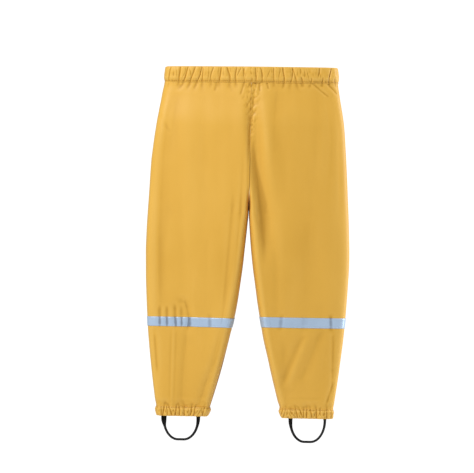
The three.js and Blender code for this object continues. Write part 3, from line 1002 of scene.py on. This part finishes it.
def body_surface(side, face, drops, around):
    """The finished cloth's outer surface at rows of drops and columns of turns."""
    drop_grid, turn_grid = np.meshgrid(drops, face * around, indexing="ij")
    points = body_curve(side, turn_grid, drop_grid)
    normals = body_normal(side, turn_grid, drop_grid)
    rows = np.interp(drops, HANG_DROPS, np.arange(HANG_ROWS))
    columns = np.interp(around, HANG_TURNS, np.arange(HANG_COLUMNS))
    held = smoothstep(0, HELD_EDGE, drops - PANEL_TOP)
    held = held * smoothstep(0, HELD_EDGE, PANEL_BOTTOM - drops)
    seams = smoothstep(0, HELD_SEAM, around) * smoothstep(0, HELD_SEAM, 1 - around)
    share = (held * hung_share(drops))[:, None] * seams
    moved = resample(hung_moves[side, face], rows, columns) * share[..., None]
    shapes = seed_folds(side, turn_grid, drop_grid) + small_shapes(side, turn_grid, drop_grid)
    shift = moved + normals * shapes[..., None]
    above_fork = 1 - smoothstep(0, 20 * MM, drops - RISE)
    shift[..., 0] *= 1 - smoothstep(0.9, 1, around) * above_fork[:, None]
    return points + shift


def fold_attribute(points, normals, close=False):
    """Crests and creases from how far each point stands off the middle of its neighbours."""
    offset = np.zeros(points.shape[:2])
    for axis in (0, 1):
        before = np.roll(points, FOLD_REACH, axis=axis)
        after = np.roll(points, -FOLD_REACH, axis=axis)
        off_middle = np.einsum("ijk,ijk->ij", (before + after) / 2 - points, normals)
        if axis == 0 or not close:
            off_middle = np.moveaxis(off_middle, axis, 0)
            off_middle[:FOLD_REACH] = 0
            off_middle[-FOLD_REACH:] = 0
            off_middle = np.moveaxis(off_middle, 0, axis)
        offset += off_middle
    return np.clip(offset / CREASE_DEPTH, -1, 1)


def add_fold_attribute(piece, values):
    layer = piece.data.attributes.new("fold", "FLOAT", "POINT")
    layer.data.foreach_set("value", values.ravel().astype(np.float32))


TURNS = np.clip(even_turns(PANEL_COLUMNS), SEAM_EDGE, 1 - SEAM_EDGE)
surface = {}
outward = {}
for side_name, side in SIDES:
    for face_name, face in FACES:
        surface[side, face] = body_surface(side, face, PANEL_DROPS, TURNS)
        outward[side, face] = grid_normals(surface[side, face]) * side * face


def on_cloth(side, around, drop, lift):
    """Points at a height above the finished cloth, for values or arrays that match."""
    side, around, drop, lift = np.broadcast_arrays(side, around, drop, lift)
    result = np.zeros((*around.shape, 3))
    rows = np.interp(drop, PANEL_DROPS, np.arange(len(PANEL_DROPS)))
    columns = np.interp(np.abs(around), TURNS, np.arange(PANEL_COLUMNS))
    r = np.clip(rows.astype(int), 0, len(PANEL_DROPS) - 2)
    c = np.clip(columns.astype(int), 0, PANEL_COLUMNS - 2)
    fr = (rows - r)[..., None]
    fc = (columns - c)[..., None]
    for (own_side, own_face), points in surface.items():
        here = (side == own_side) & ((around >= 0) == (own_face > 0))
        normals = outward[own_side, own_face]
        i, j = r[here], c[here]
        u, v = fr[here], fc[here]
        corners = [(i, j), (i, j + 1), (i + 1, j), (i + 1, j + 1)]
        weights = [(1 - u) * (1 - v), (1 - u) * v, u * (1 - v), u * v]
        point = sum(w * points[corner] for w, corner in zip(weights, corners))
        up = sum(w * normals[corner] for w, corner in zip(weights, corners))
        result[here] = point + lift[here][:, None] * up
    return result


def ride_on_trousers(piece, slot, *nodes):
    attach(piece, "trousers")
    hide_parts(*nodes)


for side_name, side in SIDES:
    for face_name, face in FACES:
        points = surface[side, face]
        piece = new_sheet(
            f"{side_name}_{face_name}_cloth", points, [coated_fabric, knitted_backing],
            flipped=side * face < 0,
        )
        # The scaled fold value is painted as shade in the creases and as highlight on the crests.
        add_fold_attribute(piece, PANEL_SHADE * fold_attribute(points, outward[side, face]))
        thicken(piece, FABRIC)
        ride_on_trousers(piece, "coated_fabric", f"{side_name}_{face_name}_panel")

# ------------------------------------------------------------------ casings and elastics


def waist_columns(count):
    """Even places round the waist from the centre front: the side and the turn of each."""
    arc = (np.arange(count) + 0.5) / count * 2 * WAIST_HALF
    on_left = arc < WAIST_HALF
    from_front = np.where(on_left, arc, 2 * WAIST_HALF - arc)
    turns = np.linspace(0, 1, ARC_SAMPLES)
    front = np.interp(WAIST_FRONT_ARC[-1] - from_front, WAIST_FRONT_ARC, turns)
    back = np.interp(from_front - WAIST_FRONT_ARC[-1], WAIST_BACK_ARC, turns)
    around = np.where(from_front < WAIST_FRONT_ARC[-1], front, -back)
    return np.where(on_left, 1, -1), around


def leg_turns(side, drop, count):
    """The turns of even places round a leg: inner edge, back, side seam, front."""
    front_table = arc_table(side, drop, 1)
    back_table = arc_table(side, drop, -1)
    total = front_table[-1] + back_table[-1]
    arc = (np.arange(count) + 0.5) / count * total - back_table[-1]
    turns = np.linspace(0, 1, ARC_SAMPLES)
    front = np.interp(arc, front_table, turns)
    back = np.interp(-arc, back_table, turns)
    return np.where(arc >= 0, front, -back)


def closed_band(name, points, materials, sign, thickness, shade=1):
    """
    A closed band from rows of points all the way round, made thick inwards. sign is -1
    where the points run the other way, and shade scales the fold value that its material paints as
    shade in its creases and, on the coated cloth, as highlight on its crests.
    """
    rows, columns = points.shape[:2]
    faces = grid_faces(rows, columns, close=True)
    if sign < 0:
        faces = faces[:, ::-1]
    piece = new_piece(name, points, faces.tolist(), materials)
    row, column = np.divmod(corner_points(piece), columns)
    face_columns = column.reshape(-1, 4)
    at_join = np.ptp(face_columns, axis=1) > columns / 2
    column = np.where(np.repeat(at_join, 4) & (column == 0), columns, column)
    wrapped = np.concatenate([points, points[:, :1]], axis=1)
    set_cloth_places(piece, grid_uv(wrapped)[row, column])
    folds = shade * fold_attribute(points, band_normals(points, sign), close=True)
    add_fold_attribute(piece, np.clip(folds, -1, 1))
    thicken(piece, thickness)
    return piece


FOLD_STEPS = 7
FOLD_RADIUS = 1.5 * MM
CREASE_REACH = 30 * MM  # longer than any casing is high
ELASTIC_THICKNESS = 1.0 * MM
ELASTIC_ROWS = 13
STITCH_HEIGHT = 2.0 * MM  # from a casing's seam to its row of stitches
STITCH_RINGS = 7
STITCH_SIDES = 8


def off_middle_surface(side, around, drop, offset):
    """Points at an offset outwards from the cloth's middle surface."""
    side = np.broadcast_to(side, drop.shape)
    around = np.broadcast_to(around, drop.shape)
    points = body_curve(side, around, drop)
    return points + body_normal(side, around, drop) * offset[..., None]


def casing_offsets(band, height):
    """How far a casing's outer and inner layer stand off the cloth's middle surface."""
    side, around, arc = (np.broadcast_to(place, height.shape) for place in band.places)
    away = -height

    def valleys(arc, creases, width):
        return crease_valleys(arc, away, creases, band.girth, width, CREASE_REACH)

    valley = np.clip(valleys(arc, band.creases, 1.15 * MM), 0, 1.2)
    valley = np.clip(valley + 0.22 * valleys(arc, FINE_CREASES, 0.9 * MM), 0, 1.2)
    back_valley = np.clip(valleys(arc + 5 * MM, band.creases, 2.2 * MM), 0, 1.25)
    ripple = lattice_noise(arc / (5 * MM) + 13, height / (7 * MM), 17)
    rise = smoothstep(0, 0.32, height / band.height)
    edge = smoothstep(0.75, 1.0, height / band.height)
    seam = seed_folds(side, around, np.full_like(height, band.seam_drop)) + 0.3 * MM
    puffed = 0.4 * MM + band.puff * (1 - valley) * (1 - 0.3 * edge) + band.rumple * ripple
    outer = seam + (puffed - seam) * rise
    inner_seam = seam - 1.6 * MM
    inner_full = -2.9 * MM - 0.4 * band.puff * (1 - 0.8 * back_valley)
    inner = inner_seam + (inner_full - inner_seam) * rise
    return outer, inner


def make_casing(band):
    """A folded casing: the outer layer, the fold at the edge and the inner layer."""
    side, around, arc = band.places
    heights = np.linspace(0, band.height - FOLD_RADIUS, band.rows)
    height_grid = np.repeat(heights[:, None], len(arc), axis=1)
    outer, inner = casing_offsets(band, height_grid)
    middle = (outer + inner) / 2
    half = (outer[-1] - inner[-1]) / 2
    angles = math.pi * np.arange(1, FOLD_STEPS)[:, None] / FOLD_STEPS
    fold_offset = middle[-1] + half * np.cos(angles)
    fold_height = heights[-1] + FOLD_RADIUS * np.sin(angles) + 0 * fold_offset
    offset = np.concatenate([outer, fold_offset, inner[::-1]])
    height = np.concatenate([height_grid, fold_height, height_grid[::-1]])
    drop = band.seam_drop + band.direction * height
    points = off_middle_surface(side, around, drop, offset)
    piece = closed_band(
        band.pieces[0], points, [coated_fabric, knitted_backing], band.sign, FABRIC, band.shade
    )
    return piece, points[: band.rows], middle, heights


def make_elastic(band, middle, heights):
    """The elastic between a casing's two layers."""
    side, around, arc = band.places
    slack = (band.height - band.elastic) / 2
    own = np.linspace(slack + 0.4 * MM, band.height - slack - 0.8 * MM, ELASTIC_ROWS)
    place = np.interp(own, heights, np.arange(len(heights)))
    low = np.clip(place.astype(int), 0, len(heights) - 2)
    share = (place - low)[:, None]
    offset = middle[low] * (1 - share) + middle[low + 1] * share + ELASTIC_THICKNESS / 2
    drop = np.repeat((band.seam_drop + band.direction * own)[:, None], len(arc), axis=1)
    points = off_middle_surface(side, around, drop, offset)
    return closed_band(
        band.pieces[1], points, [knitted_elastic], band.sign, ELASTIC_THICKNESS
    )


def make_stitches(name, points, normals, stitch, gap, radius):
    """Separate stitches along a closed line on the cloth, each a bent thread."""
    closed = np.concatenate([points, points[:1]])
    closed_normals = np.concatenate([normals, normals[:1]])
    steps = np.linalg.norm(np.diff(closed, axis=0), axis=1)
    travelled = np.concatenate([[0], np.cumsum(steps)])

    def at(place, values):
        place = np.mod(place, travelled[-1])
        return np.stack([np.interp(place, travelled, values[:, k]) for k in range(3)], axis=-1)

    rings, sides = STITCH_RINGS, STITCH_SIDES
    count = int(travelled[-1] / (stitch + gap))
    pitch = travelled[-1] / count
    t = np.linspace(0, 1, rings)
    places = np.arange(count)[:, None] * pitch + t * (pitch - gap)
    centre = at(places.ravel(), closed).reshape(count, rings, 3)
    up = unit(at(places.ravel(), closed_normals).reshape(count, rings, 3))
    centre = centre + up * (radius * (1.5 * np.sin(math.pi * t) - 0.5))[None, :, None]
    along = unit(np.gradient(centre, axis=1))
    across = np.cross(along, up)
    lift = np.cross(across, along)
    slim = np.sqrt(np.maximum(0.02, 1 - (2 * t - 1) ** 6))[None, :, None, None]
    angle = np.linspace(0, 2 * math.pi, sides, endpoint=False)[None, None, :, None]
    ring = across[:, :, None] * np.cos(angle) + lift[:, :, None] * np.sin(angle)
    tubes = centre[:, :, None] + ring * radius * slim
    own_faces = grid_faces(rings, sides, close=True).tolist()
    own_faces += end_caps(rings, sides)
    points_each = rings * sides
    faces = [[v + n * points_each for v in face] for n in range(count) for face in own_faces]
    piece = new_piece(name, tubes, faces, [sewing_thread])
    corners = corner_points(piece)
    along_stitch = corners % points_each // sides / (rings - 1) * (pitch - gap)
    round_stitch = corners % sides / sides * 2 * math.pi * radius
    set_cloth_places(piece, np.stack([along_stitch, round_stitch], axis=-1))
    point_normals_outward(piece)
    return piece


def end_caps(rows, columns):
    """The faces that close both ends of a tube made of rows of points."""
    return [list(range(columns))[::-1], [(rows - 1) * columns + k for k in range(columns)]]


def make_gathered_band(band):
    """A casing, the elastic inside it and the stitches along its seam."""
    casing, outer_points, middle, heights = make_casing(band)
    elastic = make_elastic(band, middle, heights)
    row = int(np.argmin(np.abs(heights - STITCH_HEIGHT)))
    normals = band_normals(outer_points, band.sign)
    stitches = make_stitches(band.pieces[2], outer_points[row], normals[row], *band.stitch)
    ride_on_trousers(casing, "coated_fabric", band.nodes[0])
    ride_on_trousers(elastic, "knitted_elastic", band.nodes[1])
    ride_on_trousers(stitches, "sewing_thread", band.nodes[2])


WAIST_COLUMNS = 900
CUFF_COLUMNS = 420
waist_sides, waist_turns = waist_columns(WAIST_COLUMNS)
make_gathered_band(
    SimpleNamespace(
        pieces=("waistband_cloth", "waistband_elastic", "waistband_stitches"),
        nodes=("waistband_casing", "waist_elastic", "waistband_stitching"),
        places=(waist_sides, waist_turns, waist_arc(waist_sides, waist_turns)),
        girth=2 * WAIST_HALF,
        seam_drop=WAISTBAND_HEIGHT,
        direction=-1,
        height=WAISTBAND_HEIGHT,
        creases=WAIST_CREASES,
        puff=2.4 * MM,
        rumple=0.3 * MM,
        rows=21,
        sign=1,
        # shade: strength of the painted shade in the casing's creases and painted highlight on its
        # crests
        shade=1.6,
        elastic=25 * MM,
        stitch=(2.5 * MM, 0.9 * MM, 0.28 * MM),
        flat=(0.78, 0.062),
    )
)
for side_name, side in SIDES:
    cuff_turns = leg_turns(side, CUFF_TOP, CUFF_COLUMNS)
    cuff = f"{side_name}_cuff"
    make_gathered_band(
        SimpleNamespace(
            pieces=(f"{cuff}_cloth", f"{cuff}_band", f"{cuff}_stitches"),
            nodes=(f"{cuff}_casing", f"{cuff}_elastic", f"{cuff}_stitching"),
            places=(side, cuff_turns, cuff_arc(cuff_turns)),
            girth=CUFF_ROUND,
            seam_drop=CUFF_TOP,
            direction=1,
            height=OUTER_LENGTH - CUFF_TOP,
            creases=CUFF_CREASES[side],
            puff=3.0 * MM,
            rumple=1.0 * MM,
            rows=19,
            sign=side,
            # shade: strength of the painted shade in the cuff's creases and painted highlight on
            # its crests
            shade=4.2,
            elastic=14 * MM,
            stitch=(2.3 * MM, 0.8 * MM, 0.25 * MM),
            flat=(0.30, 0.038),
        )
    )

# ------------------------------------------------------------------ tapes and label

TAPE_ROWS = 13
TAPE_COLUMNS = 280
TAPE_THICKNESS = 0.35 * MM
TAPE_LIFT = 0.62 * MM
TAPE_EDGE_DIP = 0.12 * MM
# How much higher than level each tape is sewn: its upper edge and its lower edge.
TAPE_SHIFTS = {-1: (1.0 * MM, 1.0 * MM), 1: (4.0 * MM, 2.5 * MM)}
for side_name, side in SIDES:
    tape_turns = leg_turns(side, TAPE_TOP, TAPE_COLUMNS)
    drops = np.linspace(
        TAPE_TOP - TAPE_SHIFTS[side][0], TAPE_BOTTOM - TAPE_SHIFTS[side][1], TAPE_ROWS
    )
    drop_grid, around_grid = np.meshgrid(drops, tape_turns, indexing="ij")
    across_tape = np.linspace(-1, 1, TAPE_ROWS)[:, None]
    lift = TAPE_LIFT - TAPE_EDGE_DIP * across_tape**8 + 0 * around_grid
    points = on_cloth(side, around_grid, drop_grid, lift)
    # shade=2.5 deepens the painted shade in the tape's creases.
    tape = closed_band(
        f"{side_name}_reflective_band", points, [reflective_tape], side, TAPE_THICKNESS,
        shade=2.5,
    )
    ride_on_trousers(tape, "reflective_tape", f"{side_name}_reflective_tape")


SEAM_TAPE_WIDTH = 18 * MM
SEAM_TAPE_THICKNESS = 0.3 * MM
SEAM_TAPE_END = 3 * MM  # from each end of a seam tape to the casing's seam
SEAM_TAPE_GAP = 0.12 * MM
HALF_COLUMNS = 7


def inside_point(side, level):
    """A point inside the garment at a level: the torso's middle, or a leg's."""
    if -level < RISE:
        return Vector((0, 0, level))
    half = (half_width_at(-level) + half_gap_at(-level)) / 2
    return Vector((side * float(half), 0, level))


def make_seam_strip(name, node, first, second, drops):
    """
    Seam tape on the inside: half its width on each of the two panels that a seam joins.
    Each panel is given by its side, its face and whether the seam is at its inner edge.
    """
    halves = []
    for side, face, at_inner_edge in (first, second):
        reach = np.linspace(0, SEAM_TAPE_WIDTH / 2, HALF_COLUMNS)
        rows = []
        for drop in drops:
            table = arc_table(side, drop, face)
            arc = table[-1] - reach if at_inner_edge else reach
            rows.append(face * np.interp(arc, table, np.linspace(0, 1, ARC_SAMPLES)))
        around = np.array(rows)
        around = np.where(around == 0, face * 1e-6, around)
        drop_grid = np.repeat(drops[:, None], HALF_COLUMNS, axis=1)
        halves.append(on_cloth(side, around, drop_grid, -FABRIC - SEAM_TAPE_GAP))
    seam_middle = (halves[0][:, 1:2] + halves[1][:, 1:2]) / 2
    points = np.concatenate([halves[0][:, :0:-1], seam_middle, halves[1][:, 1:]], axis=1)
    piece = new_sheet(name, points, [seam_tape])
    middle_face = piece.data.polygons[len(piece.data.polygons) // 2]
    inwards = inside_point(first[0], middle_face.center.z) - middle_face.center
    if inwards.dot(middle_face.normal) < 0:
        piece.data.flip_normals()
    thicken(piece, -SEAM_TAPE_THICKNESS)
    ride_on_trousers(piece, "seam_tape", node)


torso_drops = np.linspace(WAISTBAND_HEIGHT + SEAM_TAPE_END, RISE - 4 * MM, 110)
side_drops = np.linspace(WAISTBAND_HEIGHT + SEAM_TAPE_END, CUFF_TOP - SEAM_TAPE_END, 270)
leg_drops = np.linspace(RISE + 6 * MM, CUFF_TOP - SEAM_TAPE_END, 160)
for face_name, face in FACES:
    make_seam_strip(
        f"{face_name}_rise_seal", f"{face_name}_rise_seam_tape",
        (-1, face, True), (1, face, True), torso_drops,
    )
for side_name, side in SIDES:
    make_seam_strip(
        f"{side_name}_side_seal", f"{side_name}_side_seam_tape",
        (side, 1, False), (side, -1, False), side_drops,
    )
    make_seam_strip(
        f"{side_name}_inseam_seal", f"{side_name}_inseam_tape",
        (side, 1, True), (side, -1, True), leg_drops,
    )

label_low, label_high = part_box("care_label")
LABEL_ROWS = 34
LABEL_COLUMNS = 25
LABEL_CURL = 3.2 * MM
LABEL_WAVE = 0.5 * MM
down, across = np.meshgrid(
    np.linspace(0, 1, LABEL_ROWS), np.linspace(-1, 1, LABEL_COLUMNS), indexing="ij"
)
label_depth = (label_low.y + label_high.y) / 2
curl = LABEL_CURL * down**2 * (0.6 + 0.4 * across**2)
curl = curl + LABEL_WAVE * np.sin(5 * down + 2 * across) * down
label_points = np.stack(
    [
        across * (label_high.x - label_low.x) / 2,
        label_depth - 1.2 * MM - curl,
        label_high.z - down * (label_high.z - label_low.z) * (1 - 0.015 * across**2),
    ],
    axis=-1,
)
label = new_sheet("blank_care_label", label_points, [label_cloth])
thicken(label, 0.3 * MM)
ride_on_trousers(label, "label_cloth", "care_label")

# ------------------------------------------------------------------ stirrups

STRAP_WIDTH = strap_high.y - strap_low.y
STRAP_THICKNESS = 1.7 * MM
STRAP_RIB = 0.1 * MM
STRAP_INSET = 2 * MM  # how much further in each end hangs than its sewn place
STRAP_SHIFT = 1.5 * MM  # how much further out the whole loop hangs
STRAP_FLAT = 10 * MM  # the level stretch under the foot
STRAP_TWIST = 17 * MM  # the length below the cuff over which the strap turns
STRAP_TAIL = 17 * MM  # the length inside the cuff
STRAP_LEAN = 0.12  # how much a tail leans back as it rises
STRAP_FULL_TURN = math.radians(68)
STRAP_TURNS = {-1: (0.45, 0.95), 1: (1.15, 0.9)}  # turn of the outer and inner end at the hem
STRAP_STEPS = 44
TAIL_STEPS = 12
FLAT_STEPS = 6


def strap_outline():
    """The strap's section: flat faces with fine lengthwise ribs and rounded edges."""
    half_width = STRAP_WIDTH / 2
    half = STRAP_THICKNESS / 2
    across = np.linspace(-1, 1, 21)
    rib = STRAP_RIB * np.cos(across * math.pi * 5)
    edge = 1 - 0.55 * np.abs(across) ** 10
    top = np.stack([across * half_width, (half - STRAP_RIB + rib) * edge], axis=-1)
    bottom = top[::-1] * [1, -1]
    return np.concatenate([top, bottom])


def strap_route(half_span, loop_drop):
    """The middle of a strap from one sewn end to the other: places across and up."""
    angles = np.linspace(0, math.pi / 2, STRAP_STEPS)
    curve = np.stack(
        [
            STRAP_FLAT / 2 + (half_span - STRAP_FLAT / 2) * np.cos(angles),
            -loop_drop * np.sin(angles),
        ],
        axis=-1,
    )
    mirrored = curve[::-1] * [-1, 1]
    flat = np.linspace(curve[-1], mirrored[0], FLAT_STEPS)[1:-1]
    tail_heights = np.linspace(STRAP_TAIL, 0.8 * MM, TAIL_STEPS)
    tail = np.stack([np.full(TAIL_STEPS, half_span), tail_heights], axis=-1)
    return np.concatenate([tail, curve, flat, mirrored, tail[::-1] * [-1, 1]])


def strap_turns(side, across, lengths):
    """How far a strap is turned from flat at each place along it."""
    from_end = np.minimum(lengths, lengths[-1] - lengths) - STRAP_TAIL
    at_hem = np.where(across * side > 0, STRAP_TURNS[side][0], STRAP_TURNS[side][1])
    in_cuff = smoothstep(-STRAP_TAIL, 0, from_end) * at_hem
    below = smoothstep(0, STRAP_TWIST, from_end) * (STRAP_FULL_TURN - at_hem)
    return in_cuff + below


for side_name, side in SIDES:
    low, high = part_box(f"{side_name}_stirrup_strap")
    middle_x = (low.x + high.x) / 2 + side * STRAP_SHIFT
    pivot_y = (low.y + high.y) / 2
    half_span = (high.x - low.x - STRAP_WIDTH) / 2 - STRAP_INSET
    route = strap_route(half_span, high.z - low.z - STRAP_THICKNESS / 2)
    lean = STRAP_LEAN * np.maximum(0, route[:, 1])
    centre = np.stack([middle_x + route[:, 0], pivot_y + lean, high.z + route[:, 1]], axis=-1)
    steps = np.linalg.norm(np.diff(centre, axis=0), axis=1)
    lengths = np.concatenate([[0], np.cumsum(steps)])
    turn = strap_turns(side, route[:, 0], lengths)[:, None]
    along = unit(np.gradient(centre, axis=0))
    backwards = np.array([0.0, 1.0, 0.0])
    level = unit(np.cross(along, backwards))
    wide = level * np.cos(turn) + backwards * np.sin(turn)
    thick = np.cross(along, wide)
    outline = strap_outline()
    points = centre[:, None] + wide[:, None] * outline[:, :1] + thick[:, None] * outline[:, 1:]
    rows, columns = points.shape[:2]
    faces = grid_faces(rows, columns, close=True).tolist() + end_caps(rows, columns)
    strap = new_piece(f"{side_name}_stirrup_elastic", points, faces, [strap_elastic])
    row, column = np.divmod(corner_points(strap), columns)
    set_cloth_places(strap, np.stack([lengths[row], outline[column, 0]], axis=-1))
    point_normals_outward(strap)
    select_only(strap)
    bpy.ops.object.shade_smooth_by_angle(angle=math.radians(60))
    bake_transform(strap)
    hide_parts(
        f"{side_name}_stirrup_strap", f"{side_name}_stirrup_outer_end",
        f"{side_name}_stirrup_inner_end",
    )

# ------------------------------------------------------------------ stage, lights, camera

CAMERA_DISTANCE = 5.0
CAMERA_ACROSS = -0.0192
CAMERA_LEVEL = -0.2905
CAMERA_ROLL = math.radians(-1.2)
FRAME_WIDTH = 0.815  # width of the view at the camera's distance
SENSOR = 36
FLOOR_LEVEL = -1.1
FLOOR_SIZE = 5
ROOM_LIGHT = 0.42
BACKDROP_LIGHT = 1.1
LIGHT_AIM = (0, 0, -0.3)
WHITE = (1, 1, 1, 1)
camera_data = bpy.data.cameras.new("camera")
camera_data.sensor_width = SENSOR
camera_data.lens = SENSOR * CAMERA_DISTANCE / FRAME_WIDTH
camera_data.clip_end = 100
camera = bpy.data.objects.new("camera", camera_data)
bpy.context.scene.collection.objects.link(camera)
camera.location = (CAMERA_ACROSS, -CAMERA_DISTANCE, CAMERA_LEVEL)
camera.rotation_euler = (math.radians(90), CAMERA_ROLL, 0)
bpy.context.scene.camera = camera

bpy.ops.mesh.primitive_plane_add(size=FLOOR_SIZE, location=(0, 0, FLOOR_LEVEL))
floor = bpy.context.object
floor.name = "floor"
floor_finish, _ = principled("floor_finish", 0.8, Base_Color=(0.9, 0.9, 0.9, 1))
floor.data.materials.append(floor_finish)
floor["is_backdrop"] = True

world = bpy.data.worlds.new("studio")
bpy.context.scene.world = world
world.use_nodes = True
world_nodes = world.node_tree.nodes
background = world_nodes["Background"]
background.inputs["Color"].default_value = WHITE
background.inputs["Strength"].default_value = ROOM_LIGHT
seen = world_nodes.new("ShaderNodeBackground")
seen.inputs["Color"].default_value = WHITE
seen.inputs["Strength"].default_value = BACKDROP_LIGHT
path = world_nodes.new("ShaderNodeLightPath")
mix = world_nodes.new("ShaderNodeMixShader")
world.node_tree.links.new(path.outputs["Is Camera Ray"], mix.inputs[0])
world.node_tree.links.new(background.outputs[0], mix.inputs[1])
world.node_tree.links.new(seen.outputs[0], mix.inputs[2])
world.node_tree.links.new(mix.outputs[0], world_nodes["World Output"].inputs["Surface"])


def area_light(name, place, size, power):
    light = bpy.data.lights.new(name, "AREA")
    light.shape = "RECTANGLE"
    light.size = size[0]
    light.size_y = size[1]
    light.energy = power
    lamp = bpy.data.objects.new(name, light)
    bpy.context.scene.collection.objects.link(lamp)
    lamp.location = place
    lamp.rotation_euler = (Vector(LIGHT_AIM) - Vector(place)).to_track_quat("-Z", "Y").to_euler()


area_light("key", (-1.3, -1.65, 1.3), (0.8, 1.1), 45)
area_light("right_edge", (1.7, 0.3, 0.1), (0.5, 1.6), 26)

bpy.context.scene.view_settings.view_transform = "Standard"

low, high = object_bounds()
